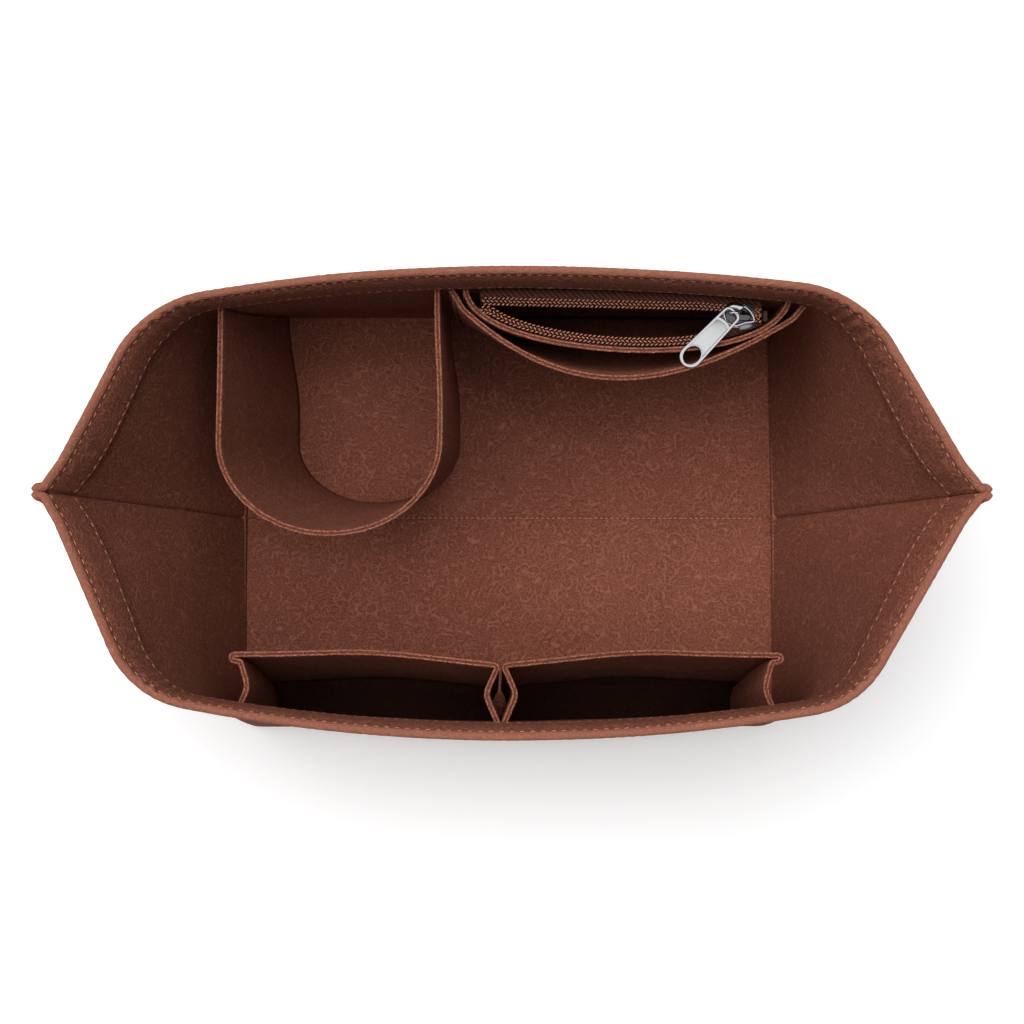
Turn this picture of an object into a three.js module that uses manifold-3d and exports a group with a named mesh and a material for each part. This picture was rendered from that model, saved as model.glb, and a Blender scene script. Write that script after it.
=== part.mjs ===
import * as THREE from "three";
import { mergeVertices } from "three/addons/utils/BufferGeometryUtils.js";
import Module from "manifold-3d";

// Purse organizer insert sewn from thick felt. Millimetres, +Z up, long side along X, back towards +Y.
// The origin is on the floor under the middle of the base.

// Felt and sewing
const FELT = 2.2;
const SEAM_GAP = 0.3;
const SEAM_ALLOWANCE = 4;
const SEAM_TURN = 1.8;
const SEWN_GAP = 0.3;
const WALL_GAP = 0.5;

// Body
const BASE_WIDTH = 244;
const BASE_DEPTH = 190;
const BODY_HEIGHT = 140;
const BASE_CORNER = 7;
const TIP_REACH = 181;
const BACK_RIM = { reach: 88.3, corner: 48.6 };
const BACK_RIM_ENDS = { left: { slope: 63.2, sweep: 9.9 }, right: { slope: 60.2, sweep: 6.3 } };
const FRONT_RIM = { reach: 94.9, corner: 40 };
const FRONT_RIM_ENDS = { left: { slope: 66.1, sweep: 11.3 }, right: { slope: 59.3, sweep: 9.6 } };
const RIM_FLARE = 3.5;
const WALL_BOW = 4;
const HEM_DEPTH = 18;
const HEM_SLIT = 0.3;
const HEM_PRESSED = 1.5;
const HEM_PRESS_DEPTH = 6;
const HEM_STEP = 7;

// Pockets end just under the hem
const POCKET_DROP = 4;
const POCKET_BOTTOM = 18;

// Bottle pocket at its upper and lower edge, its sides measured from the left end of the base
const BOTTLE_TOP = { leftFoot: 4.8, left: 4.8, right: 92.8, rightFoot: 91.5, front: -14.7, nose: 37 };
const BOTTLE_BASE = { leftFoot: 17, left: 22.5, right: 97.8, rightFoot: 93, front: 6, nose: 30 };

// Zip pocket and the slip pocket in front of it, between the bottle pocket and the right end of the base
const ZIP_POCKET = { afterBottle: 11.5, beforeEnd: 11, lead: 2.7, lag: 12.2, pullLeft: 29.5 };
const SLIP_POCKET = { afterBottle: 5.5, beforeEnd: 4.5, lead: 39, lag: 59.7, pullLeft: 41 };
const PANEL_SLANT = 1.19;

// Pair of front pockets, from the ends of the base
const FRONT_POCKETS_AFTER_END = 14.5;
const FRONT_POCKETS_BEFORE_END = 19.5;
const FRONT_DIVIDER = -4.8;
const FRONT_POCKET_DEPTH = 25.5;
const FRONT_POCKET_BASE_DEPTH = 18;
const DIVIDER_BULGE = 5;
const GUSSET_WAVE = 3;
const PANEL_CROWN = 1.5;
const EAR_REACH = 4.2;
const EAR_TURN = 1.45;

// Zip fastener
const CHAIN_ANGLE = 1.2;
const CHAIN_OFF_WALL = 8.5;
const CHAIN_BELOW_HEM = 5;
const CHAIN_BEFORE_SEAM = 11.6;
const CHAIN_AFTER_SEAM = 10.2;
const COIL_PITCH = 2.4;
const COIL_WIDTH = 3.2;
const COIL_HEIGHT = 2.2;
const COIL_WIRE = 0.7;
const ROW_CLOSED = 1.4;
const ROW_AT_MOUTH = 2.9;
const ROW_APART = 3.3;
const ROW_TURN = 10;
const STOP_LENGTH = 2.2;
const TAPE = 0.6;
const TAPE_WIDTH = 12;

// Slider and its pull
const SLIDER_FROM_STOP = 8.9;
const SLIDER_LENGTH = 13;
const SLIDER_MOUTH = 11.2;
const SLIDER_TAIL = 7.7;
const SLIDER_PLATE = 1;
const SLIDER_RAIL = 0.5;
const SLIDER_CLEARANCE = 0.4;
const SLIDER_LOWER_RAIL = 0.4;
const BAIL_BAR = 1;
const BAIL_RADIUS = 2.9;
const BAIL_SETBACK = 2.6;
const BONNET_WIDTH = 4.6;
const BONNET_LENGTH = 4.8;
const PULL_LENGTH = 30;
const PULL_WIDTH = { tip: 9, eye: 7.6 };
const PULL_THICKNESS = 1.2;
const PULL_SHOULDER = 2.4;
const PULL_EYE = { length: 4.2, width: 5.4, bar: 1.2 };
const PULL_HOLE = { length: 8, width: 6.4, bar: 1.2 };
const PULL_RECESS = { length: 9.6, width: 5.4, depth: 0.25, beforeHole: 1 };
const PULL_HEADING = 47;
const PULL_SLOPE = 4.5;
const PULL_OFFSET = 1.3;

const { degToRad, lerp, smoothstep } = THREE.MathUtils;
const HALF = FELT / 2;
const BASE_LEFT = -BASE_WIDTH / 2;
const BASE_RIGHT = BASE_WIDTH / 2;
const POCKET_TOP = BODY_HEIGHT - HEM_DEPTH - POCKET_DROP;
const LEVELS = [0, 0.25, 0.5, 0.75, 1].map((part) => lerp(POCKET_BOTTOM, POCKET_TOP, part));
const CHAIN_Z = BODY_HEIGHT - HEM_DEPTH - CHAIN_BELOW_HEM;
const TAPE_BELOW_CHAIN = COIL_HEIGHT / 2 + SEWN_GAP + TAPE / 2;

for (const pocket of [ZIP_POCKET, SLIP_POCKET]) {
  pocket.left = BASE_LEFT + BOTTLE_TOP.rightFoot + pocket.afterBottle;
  pocket.right = BASE_RIGHT - pocket.beforeEnd;
}
const CHAIN_RIGHT = ZIP_POCKET.right - CHAIN_BEFORE_SEAM;
const SLIDER_X = CHAIN_RIGHT - SLIDER_FROM_STOP;
const CURLS = Math.floor((CHAIN_RIGHT - ZIP_POCKET.left - CHAIN_AFTER_SEAM) / COIL_PITCH);

const wasm = await Module();
wasm.setup();

// Solids from geometries and back
function toSolid(geometry) {
  const bare = new THREE.BufferGeometry();
  bare.setAttribute("position", geometry.attributes.position.clone());
  if (geometry.index) bare.setIndex(geometry.index.clone());
  const merged = mergeVertices(bare, 1e-3);
  return new wasm.Manifold(new wasm.Mesh({
    numProp: 3,
    vertProperties: merged.attributes.position.array,
    triVerts: merged.index.array,
  }));
}

function toGeometry(solid) {
  const mesh = solid.getMesh();
  const geometry = new THREE.BufferGeometry();
  geometry.setAttribute("position", new THREE.BufferAttribute(new Float32Array(mesh.vertProperties), 3));
  geometry.setIndex(new THREE.BufferAttribute(new Uint32Array(mesh.triVerts), 1));
  return geometry;
}

function prism(shape, depth, { bevel = 0, steps = 6 } = {}) {
  return new THREE.ExtrudeGeometry(shape, {
    depth: depth - 2 * bevel,
    curveSegments: steps,
    bevelEnabled: bevel > 0,
    bevelThickness: bevel,
    bevelSize: bevel,
    bevelOffset: -bevel,
    bevelSegments: 1,
  }).translate(0, 0, bevel);
}

// A closed skin through equal loops of points, turned so that its faces point out
function skin(loops, capFaces) {
  const size = loops[0].length;
  const points = loops.flat();
  const faces = [];
  for (let ring = 0; ring + 1 < loops.length; ring++) {
    for (let i = 0; i < size; i++) {
      const a = ring * size + i;
      const b = ring * size + (i + 1) % size;
      faces.push([a, b, a + size], [b, b + size, a + size]);
    }
  }
  const last = points.length - size;
  for (const [a, b, c] of capFaces) {
    faces.push([c, b, a], [last + a, last + b, last + c]);
  }
  let volume = 0;
  for (const [a, b, c] of faces) {
    volume += points[a].dot(new THREE.Vector3().crossVectors(points[b], points[c]));
  }
  if (volume < 0) faces.forEach((face) => face.reverse());
  const geometry = new THREE.BufferGeometry().setFromPoints(points);
  geometry.setIndex(faces.flat());
  return geometry;
}

// Unit normals of a grid of points, grid[station][row]
function gridNormals(grid) {
  const along = (a, b, c) => {
    const sum = new THREE.Vector3();
    if (a) sum.add(b.clone().sub(a).normalize());
    if (c) sum.add(c.clone().sub(b).normalize());
    return sum.normalize();
  };
  return grid.map((column, i) => column.map((point, j) => {
    const across = along(grid[i - 1]?.[j], point, grid[i + 1]?.[j]);
    const up = along(column[j - 1], point, column[j + 1]);
    return up.cross(across).normalize();
  }));
}

// The same with the upward part left out, so that a sheet keeps its level edges
const levelNormals = (grid) => gridNormals(grid).map((column) =>
  column.map((normal) => normal.setZ(0).normalize()));

// A sheet of even thickness around a grid of middle points
function thickSheet(grid, thickness, normals = levelNormals(grid)) {
  const rows = grid[0].length;
  const loops = grid.map((column, i) => {
    const side = (sign) => column.map((point, j) =>
      point.clone().addScaledVector(normals[i][j], sign * thickness / 2));
    return [...side(1), ...side(-1).reverse()];
  });
  const caps = [];
  for (let j = 0; j + 1 < rows; j++) {
    caps.push([j, j + 1, 2 * rows - 2 - j], [j, 2 * rows - 2 - j, 2 * rows - 1 - j]);
  }
  return skin(loops, caps);
}

// A round tube through points, with flat ends
function tube(points, radius, sides) {
  const loops = [];
  let normal = new THREE.Vector3(0, 0, 1);
  points.forEach((point, i) => {
    const before = points[Math.max(i - 1, 0)];
    const after = points[Math.min(i + 1, points.length - 1)];
    const heading = after.clone().sub(before).normalize();
    normal = normal.clone().addScaledVector(heading, -normal.dot(heading)).normalize();
    const side = new THREE.Vector3().crossVectors(heading, normal);
    loops.push(Array.from({ length: sides }, (_, k) => {
      const angle = 2 * Math.PI * k / sides;
      return point.clone()
        .addScaledVector(normal, radius * Math.cos(angle))
        .addScaledVector(side, radius * Math.sin(angle));
    }));
  });
  const caps = Array.from({ length: sides - 2 }, (_, k) => [0, k + 1, k + 2]);
  return skin(loops, caps);
}

// A plan outline as runs of steady curvature, walked outwards from the middle of a panel
function outline(startY, runs) {
  return { startY, runs, length: runs.reduce((sum, run) => sum + run.length, 0) };
}

function walk(line, fraction) {
  let left = fraction * line.length;
  let heading = 0;
  let x = 0;
  let y = line.startY;
  for (const run of line.runs) {
    const length = Math.min(left, run.length);
    const turn = run.turn * length / run.length;
    const chord = Math.abs(turn) < 1e-9 ? length : 2 * Math.sin(turn / 2) * length / turn;
    x += chord * Math.cos(heading + turn / 2);
    y -= chord * Math.sin(heading + turn / 2);
    heading += turn;
    left -= length;
    if (left <= 0) break;
  }
  return { x, y, heading };
}

const arcRun = (radius, turn) => ({ length: radius * Math.abs(turn), turn });

// The folded rectangle of the base, to the middle of the felt
function baseOutline() {
  const halfWidth = BASE_WIDTH / 2 + HALF;
  const halfDepth = BASE_DEPTH / 2 + HALF;
  return outline(halfDepth, [
    { length: halfWidth - BASE_CORNER, turn: 0 },
    arcRun(BASE_CORNER, Math.PI / 2),
    { length: halfDepth - BASE_CORNER - SEAM_TURN, turn: 0 },
    arcRun(SEAM_TURN, -Math.PI / 2),
  ]);
}

// The open rim: a bowed side, a corner, a straight slant and a flare to the pinched tip
function rimOutline(rim, end) {
  const sweep = degToRad(end.sweep);
  const slope = degToRad(end.slope);
  const flare = { x: RIM_FLARE * Math.sin(slope), y: RIM_FLARE * (1 - Math.cos(slope)) };
  const corner = {
    x: rim.corner * (Math.sin(slope) - Math.sin(sweep)),
    y: rim.corner * (Math.cos(sweep) - Math.cos(slope)),
  };
  const fullX = TIP_REACH - flare.x - corner.x;
  const rise = Math.tan(sweep / 2);
  const slant = (rim.reach - flare.y - corner.y - fullX * rise) / (Math.sin(slope) - rise * Math.cos(slope));
  const sideRadius = (fullX - slant * Math.cos(slope)) / Math.sin(sweep);
  return outline(rim.reach, [
    arcRun(sideRadius, sweep),
    arcRun(rim.corner, slope - sweep),
    { length: slant, turn: 0 },
    arcRun(RIM_FLARE, -slope),
  ]);
}

function bodyPanel(side, rim, ends) {
  const rims = { left: rimOutline(rim, ends.left), right: rimOutline(rim, ends.right) };
  return { side, base: baseOutline(), rims };
}

const BACK = bodyPanel(1, BACK_RIM, BACK_RIM_ENDS);
const FRONT = bodyPanel(-1, FRONT_RIM, FRONT_RIM_ENDS);

const NEAR_SEAM = 0.96;

// Middle of the wall's felt. along is 0 in the middle of the panel and 1 at the seam, and fin runs from
// 0 to 1 over the seam allowance.
function wallPoint(panel, { half, along, fin = 0 }, z) {
  const base = walk(panel.base, along);
  const rim = walk(half < 0 ? panel.rims.left : panel.rims.right, along);
  const rise = z / BODY_HEIGHT;
  const heading = lerp(base.heading, rim.heading, rise);
  const bow = WALL_BOW * 6.75 * rise * rise * (1 - rise) * (1 - smoothstep(along, 0.85, 1));
  const hemShift = smoothstep(z, BODY_HEIGHT - HEM_DEPTH - HEM_STEP, BODY_HEIGHT - HEM_DEPTH);
  const seamShift = SEAM_GAP / 2 + HALF + hemShift * (FELT + HEM_SLIT);
  const x = lerp(base.x, rim.x, rise) - bow * Math.sin(heading) + fin * SEAM_ALLOWANCE;
  const y = lerp(base.y, rim.y, rise) - bow * Math.cos(heading) + seamShift * smoothstep(along, 0.93, 1);
  const point = new THREE.Vector3(half * x, panel.side * y, z);
  point.heading = heading;
  return point;
}

// Y at a given x and z, below the hem, of the wall's inner face or of a surface that far inside it
function faceY(panel, x, z, inside = 0) {
  const half = x < 0 ? -1 : 1;
  let along = Math.abs(x) / panel.base.length;
  let point = wallPoint(panel, { half, along }, z);
  for (let pass = 0; pass < 12; pass++) {
    along += (Math.abs(x) - Math.abs(point.x)) / panel.base.length;
    point = wallPoint(panel, { half, along }, z);
  }
  return point.y - panel.side * (HALF + inside) / Math.cos(point.heading);
}

// Stations along half a panel: every bend of the base and of the rim, cut into small turns
function halfStations(panel, half) {
  const lines = [panel.base, half < 0 ? panel.rims.left : panel.rims.right];
  const marks = [];
  for (const line of lines) {
    let start = 0;
    for (const run of line.runs) {
      const parts = Math.ceil(Math.max(Math.abs(run.turn) / degToRad(20), run.length / 32));
      for (let k = 0; k < parts; k++) marks.push((start + run.length * k / parts) / line.length);
      start += run.length;
    }
  }
  marks.sort((a, b) => a - b);
  const stations = [];
  let last = -1;
  for (const along of marks) {
    const spacing = along < NEAR_SEAM ? 0.009 : 0.002;
    if (along - last < spacing) continue;
    stations.push({ half, along });
    last = along;
  }
  return [...stations, { half, along: 1 }, { half, along: 1, fin: 1 }];
}

function panelStations(panel) {
  const left = halfStations(panel, -1).slice(1).reverse();
  return [...left, ...halfStations(panel, 1)];
}

// The wall's cross-section with its folded hem, as offsets from the middle of the felt, outwards positive.
// The felt is pressed thinner at the fold.
function hemmedSection() {
  const foldRadius = HEM_PRESSED + HEM_SLIT / 2;
  const pressZ = BODY_HEIGHT - HEM_PRESS_DEPTH;
  const foldZ = BODY_HEIGHT - foldRadius;
  const middle = -HALF - HEM_SLIT / 2;
  const hemZ = BODY_HEIGHT - HEM_DEPTH;
  const wall = [0, ...LEVELS, hemZ - HEM_STEP, hemZ, pressZ].sort((a, b) => a - b);
  const section = wall.map((z) => ({ z, offset: HALF }));
  for (let k = 0; k < 6; k++) {
    const angle = Math.PI * k / 6;
    const [rise, run] = [foldRadius * Math.sin(angle), foldRadius * Math.cos(angle)];
    section.push({ z: foldZ + rise, offset: middle + run });
  }
  section.push({ z: foldZ, offset: middle - foldRadius });
  section.push({ z: pressZ, offset: middle - HEM_SLIT / 2 - FELT });
  section.push({ z: hemZ, offset: middle - HEM_SLIT / 2 - FELT });
  section.push({ z: hemZ, offset: middle - HEM_SLIT / 2 });
  section.push({ z: foldZ, offset: middle - HEM_SLIT / 2 });
  section.push({ z: foldZ + HEM_SLIT / 2, offset: middle });
  section.push({ z: foldZ, offset: -HALF });
  return [...section, ...wall.reverse().map((z) => ({ z, offset: -HALF }))];
}

function wallSolid(panel) {
  const section = hemmedSection();
  const heights = [...new Set(section.map((knot) => knot.z))].sort((a, b) => a - b);
  const grid = panelStations(panel).map((station) => heights.map((z) => wallPoint(panel, station, z)));
  const normals = levelNormals(grid);
  const loops = grid.map((column, i) => section.map(({ z, offset }) => {
    const row = heights.indexOf(z);
    return column[row].clone().addScaledVector(normals[i][row], panel.side * offset);
  }));
  const flat = section.map(({ z, offset }) => new THREE.Vector2(offset, z));
  return toSolid(skin(loops, THREE.ShapeUtils.triangulateShape(flat, [])));
}

// Half of the base, up to the middle seam
function baseFlap(panel) {
  const halfWidth = BASE_WIDTH / 2 + HALF;
  const halfDepth = BASE_DEPTH / 2 + HALF;
  const flap = new THREE.Shape();
  flap.moveTo(-halfWidth, SEAM_GAP / 2);
  flap.lineTo(halfWidth, SEAM_GAP / 2);
  flap.lineTo(halfWidth, halfDepth - BASE_CORNER);
  flap.absarc(halfWidth - BASE_CORNER, halfDepth - BASE_CORNER, BASE_CORNER, 0, Math.PI / 2);
  flap.absarc(BASE_CORNER - halfWidth, halfDepth - BASE_CORNER, BASE_CORNER, Math.PI / 2, Math.PI);
  const solid = toSolid(prism(flap, FELT));
  return panel.side > 0 ? solid : solid.rotate([0, 0, 180]);
}

// The seam allowance of a boxed corner: two edges of felt that stand out along the floor
function cornerFin(panel, half) {
  const inner = BASE_WIDTH / 2 + HALF;
  const reach = HALF + SEAM_ALLOWANCE;
  const length = BASE_DEPTH / 2 - BASE_CORNER;
  const fin = new THREE.BoxGeometry(reach, length, 2 * FELT);
  fin.translate(inner + reach / 2, SEAM_GAP / 2 + length / 2, FELT);
  const slit = new THREE.BoxGeometry(SEAM_ALLOWANCE, 2 * length, HEM_SLIT);
  slit.translate(inner + reach, length, FELT);
  const solid = toSolid(fin).subtract(toSolid(slit));
  const across = panel.side > 0 ? solid : solid.mirror([0, 1, 0]);
  return half > 0 ? across : across.mirror([1, 0, 0]);
}

function bodyGeometry(panel) {
  let solid = wallSolid(panel).add(baseFlap(panel));
  for (const half of [-1, 1]) solid = solid.add(cornerFin(panel, half));
  return toGeometry(solid);
}

// Evenly spaced values from 0 to 1
const steps = (count) => Array.from({ length: count + 1 }, (_, i) => i / count);

// Lines through corner points [x, y, radius], with every corner rounded to an arc of equal steps
function roundedPath(corners, arcSteps = 4) {
  const points = [new THREE.Vector2(...corners[0])];
  for (let i = 1; i + 1 < corners.length; i++) {
    const [before, corner, after] = corners.slice(i - 1, i + 2).map(([x, y]) => new THREE.Vector2(x, y));
    const arrive = corner.clone().sub(before).normalize();
    const leave = after.clone().sub(corner).normalize();
    const turn = Math.atan2(arrive.cross(leave), arrive.dot(leave));
    const radius = corners[i][2];
    const start = corner.clone().addScaledVector(arrive, -radius * Math.tan(Math.abs(turn) / 2));
    const toCentre = new THREE.Vector2(-arrive.y, arrive.x).multiplyScalar(Math.sign(turn) * radius);
    const centre = start.clone().add(toCentre);
    for (const part of steps(arcSteps)) points.push(start.clone().rotateAround(centre, turn * part));
  }
  points.push(new THREE.Vector2(...corners[corners.length - 1]));
  return points;
}

// The bottle pocket is one strip of felt, sewn to the back wall at both ends
function bottleSection(z) {
  const rise = (z - FELT) / (POCKET_TOP - FELT);
  const size = {};
  for (const key of Object.keys(BOTTLE_TOP)) size[key] = lerp(BOTTLE_BASE[key], BOTTLE_TOP[key], rise);
  const wallY = (x) => Math.min(faceY(BACK, x - HALF, z), faceY(BACK, x + HALF, z)) - WALL_GAP;
  const [leftFoot, left, right, rightFoot] = [size.leftFoot, size.left, size.right, size.rightFoot]
    .map((fromEnd) => BASE_LEFT + fromEnd);
  const middle = (left + right) / 2;
  const halfWidth = (right - left) / 2;
  const noseY = size.front + size.nose;
  const leftY = wallY(leftFoot);
  const rightY = wallY(rightFoot);
  const points = [];
  for (const part of steps(5).slice(0, -1)) {
    points.push([lerp(leftFoot, left, smoothstep(part, 0, 0.8)), lerp(leftY, noseY, part)]);
  }
  for (const part of steps(14)) {
    const angle = Math.PI * (1 + part);
    points.push([middle + halfWidth * Math.cos(angle), noseY + size.nose * Math.sin(angle)]);
  }
  for (const part of steps(5).slice(1)) {
    points.push([lerp(right, rightFoot, smoothstep(part, 0.2, 1)), lerp(noseY, rightY, part)]);
  }
  return points.map(([x, y]) => new THREE.Vector3(x, y, z));
}

// Rows of points at several heights, turned into grid[station][row]
const toGrid = (rows) => rows[0].map((_, station) => rows.map((row) => row[station]));

function bottlePocket() {
  const rows = [FELT + SEWN_GAP, ...LEVELS].map(bottleSection);
  return thickSheet(toGrid(rows), FELT);
}

// The share of its two pulls that acts on a patch pocket's middle line at one place
const nearShare = (part) => 3 * part * (1 - part) ** 2;
const farShare = (part) => 3 * part ** 2 * (1 - part);
const openShare = (z) => ((z - POCKET_BOTTOM) / (POCKET_TOP - POCKET_BOTTOM)) ** 0.8;

function patchX({ left, right, lead, lag }, part) {
  const [near, far] = [nearShare(part), farShare(part)];
  return left * ((1 - part) ** 3 + near) + right * (part ** 3 + far) + lead * near - lag * far;
}

// The middle line at height z: flat on the wall at its foot, standing out at its edge
function patchPoint(size, cover, part, z) {
  const x = patchX(size, part);
  const out = openShare(z) * (size.pullLeft * nearShare(part) + size.pullRight * farShare(part));
  return new THREE.Vector3(x, faceY(BACK, x, z, WALL_GAP + HALF) - cover(x) - out, z);
}

// The part of the middle line that lies at x
function partAt(size, x) {
  let [low, high] = [0, 1];
  for (let pass = 0; pass < 24; pass++) {
    const middle = (low + high) / 2;
    if (patchX(size, middle) < x) low = middle;
    else high = middle;
  }
  return low;
}

// The right-hand pull with which the middle line passes through a point
function pullThrough(size, cover, x, y, z) {
  const part = partAt(size, x);
  const unpulled = patchPoint({ ...size, pullRight: 0 }, cover, part, z).y;
  return (unpulled - y) / (openShare(z) * farShare(part));
}

// The slider's inside, measured from the middle of the coils
const CHANNEL_TOP = COIL_HEIGHT / 2 + SLIDER_CLEARANCE;
const SLOT_TOP = SLIDER_CLEARANCE - COIL_HEIGHT / 2 - SEWN_GAP;
const SLOT_BOTTOM = -TAPE_BELOW_CHAIN - TAPE / 2 - SLIDER_CLEARANCE;
const CHANNEL_BOTTOM = SLOT_BOTTOM - SLIDER_LOWER_RAIL;
const PLATE_TOP = CHANNEL_TOP + SLIDER_PLATE;
const PLATE_BOTTOM = CHANNEL_BOTTOM - SLIDER_PLATE;

// The zip's chain line, along which the slider runs
const CHAIN_Y = faceY(BACK, SLIDER_X, CHAIN_Z) - CHAIN_OFF_WALL;
const chainY = (x) => CHAIN_Y - (x - SLIDER_X) * Math.tan(degToRad(CHAIN_ANGLE));
const MOUTH_X = SLIDER_X - SLIDER_LENGTH / 2;
const TAIL_X = SLIDER_X + SLIDER_LENGTH / 2;
const ROWS_LEFT = CHAIN_RIGHT - CURLS * COIL_PITCH;

const noCover = () => 0;

// How far the slip pocket stands off the wall where it lies over the zip pocket
function slipCover(x) {
  const onLeft = smoothstep(x, SLIP_POCKET.left, ZIP_POCKET.left - 0.5);
  const onRight = 1 - smoothstep(x, ZIP_POCKET.right + 1, SLIP_POCKET.right + 1);
  return (FELT + SEWN_GAP + WALL_GAP) * Math.min(onLeft, onRight);
}

// Both panels pass just in front of the slider's tail, with room for the tape between
const TAIL_ROOM = SLIDER_TAIL / 2 + (SEWN_GAP + TAPE + WALL_GAP + HALF) * PANEL_SLANT;
const PANEL_STEP = (FELT + SEWN_GAP) * PANEL_SLANT;
ZIP_POCKET.pullRight = pullThrough(
  ZIP_POCKET, noCover, TAIL_X, chainY(TAIL_X) - TAIL_ROOM, CHAIN_Z + PLATE_BOTTOM);
const ZIP_EDGE_AT_TAIL = patchPoint(ZIP_POCKET, noCover, partAt(ZIP_POCKET, TAIL_X), POCKET_TOP);
SLIP_POCKET.pullRight = pullThrough(
  SLIP_POCKET, slipCover, TAIL_X, ZIP_EDGE_AT_TAIL.y - PANEL_STEP, POCKET_TOP);

function patchPocket(size, cover, stations) {
  const rows = LEVELS.map((z) => steps(stations).map((part) => patchPoint(size, cover, part, z)));
  return thickSheet(toGrid(rows), FELT);
}

// Y of a surface inside the zip pocket's panel at a given x, at one of its levels
function zipLevelY(x, z, inside) {
  const part = partAt(ZIP_POCKET, x);
  const here = patchPoint(ZIP_POCKET, noCover, part, z);
  const next = patchPoint(ZIP_POCKET, noCover, part + 0.01, z);
  const stretch = here.distanceTo(next) / (next.x - here.x);
  return here.y + (HALF + inside) * stretch;
}

// The same anywhere between the two upper levels
function zipPanelFaceY(x, z, inside) {
  const [below, above] = LEVELS.slice(-2);
  return lerp(zipLevelY(x, below, inside), zipLevelY(x, above, inside), (z - below) / (above - below));
}

// One front pocket in plan: gusset, pinched ear, panel and inner gusset, as [along, out from the wall]
function frontPocketPath(width, depth) {
  const scale = depth / FRONT_POCKET_DEPTH;
  const earLow = depth - 2 * EAR_TURN - 0.2;
  const wave = GUSSET_WAVE * scale;
  const footGap = WALL_GAP + 0.4 * HALF;
  return roundedPath([
    [0, footGap],
    [wave, 0.42 * depth, 12],
    [0, earLow, EAR_TURN],
    [-EAR_REACH, earLow, EAR_TURN],
    [-EAR_REACH, depth, EAR_TURN],
    [0.5 * width, depth + PANEL_CROWN, 260],
    [width - 0.3, depth - 3, 2],
    [width - DIVIDER_BULGE * scale, 0.5 * depth, 6],
    [width, footGap],
  ]);
}

function frontPocket(outerX, towards) {
  const innerX = FRONT_DIVIDER - towards * (HALF + SEAM_GAP / 2);
  const width = Math.abs(innerX - outerX);
  const row = (z) => {
    const rise = (z - POCKET_BOTTOM) / (POCKET_TOP - POCKET_BOTTOM);
    const depth = lerp(FRONT_POCKET_BASE_DEPTH, FRONT_POCKET_DEPTH, rise);
    return frontPocketPath(width, depth).map(({ x: along, y: out }) => {
      const x = outerX + towards * along;
      return new THREE.Vector3(x, faceY(FRONT, x, z) + out, z);
    });
  };
  const rows = LEVELS.map(row);
  const floor = new THREE.Shape(rows[0].map(({ x, y }) => new THREE.Vector2(x, y)));
  const floorSolid = toSolid(prism(floor, FELT)).translate([0, 0, POCKET_BOTTOM]);
  return toGeometry(toSolid(thickSheet(toGrid(rows), FELT)).add(floorSolid));
}


// Middle of a row: together in the slider, apart to its left, the front one along the pocket's felt
function rowPoint(row, x) {
  const closing = smoothstep(x, MOUTH_X, SLIDER_X + SLIDER_LENGTH / 4);
  const inSlider = chainY(x) + row * lerp(ROW_AT_MOUTH, ROW_CLOSED, closing);
  const apart = 1 - smoothstep(x, MOUTH_X - ROW_TURN, MOUTH_X);
  const open = row > 0 ? chainY(x) + ROW_APART : zipPanelFaceY(x, CHAIN_Z, COIL_WIDTH / 2 + WALL_GAP);
  return new THREE.Vector3(x, lerp(inSlider, open, apart), CHAIN_Z);
}

// Points of a row's middle line at even distances, from its closed end to the left
function rowLine(row, spacing, count) {
  const line = [];
  let x = CHAIN_RIGHT;
  let point = rowPoint(row, x);
  for (let i = 0; i < count; i++) {
    line.push(point);
    const next = rowPoint(row, x - spacing);
    x -= spacing * spacing / next.distanceTo(point);
    point = rowPoint(row, x);
  }
  return line;
}

// One row of the zip: a single wire wound into flattened loops
function coil(row) {
  const perCurl = 8;
  const count = CURLS * perCurl + 1;
  const line = rowLine(row, COIL_PITCH / perCurl, count);
  const reach = { side: (COIL_WIDTH - COIL_WIRE) / 2, up: (COIL_HEIGHT - COIL_WIRE) / 2 };
  const points = line.map((middle, i) => {
    const heading = line[Math.min(i + 1, count - 1)].clone().sub(line[Math.max(i - 1, 0)]).normalize();
    const side = new THREE.Vector3(-heading.y, heading.x, 0);
    const angle = 2 * Math.PI * i / perCurl;
    return middle.clone()
      .addScaledVector(side, reach.side * Math.cos(angle))
      .add(new THREE.Vector3(0, 0, reach.up * Math.sin(angle)));
  });
  let least = Infinity;
  for (let i = 0; i < count; i++) {
    for (let j = i + perCurl / 2; j < Math.min(i + 2 * perCurl, count); j++) {
      least = Math.min(least, points[i].distanceTo(points[j]));
    }
  }
  console.log(`least gap of the coil to itself: ${(least - COIL_WIRE).toFixed(2)} mm`);
  return tube(points, COIL_WIRE / 2, 5);
}

// A zip tape: level under its coil, then folded down along the felt that it is sewn to
function zipTape(row, feltY) {
  const top = CHAIN_Z - TAPE_BELOW_CHAIN;
  const stations = steps(26).map((part) => lerp(CHAIN_RIGHT + COIL_PITCH / 2, ROWS_LEFT, part));
  const grid = stations.map((x) => {
    const middleY = rowPoint(row, x).y;
    const sewnY = (z) => feltY(x, z, WALL_GAP + TAPE / 2);
    const edgeY = sewnY(top);
    return [
      new THREE.Vector3(x, middleY, top),
      new THREE.Vector3(x, lerp(edgeY, middleY, 0.1), top),
      new THREE.Vector3(x, sewnY(top - 1), top - 1),
      new THREE.Vector3(x, sewnY(top - TAPE_WIDTH), top - TAPE_WIDTH),
    ];
  });
  return thickSheet(grid, TAPE, gridNormals(grid));
}

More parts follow.
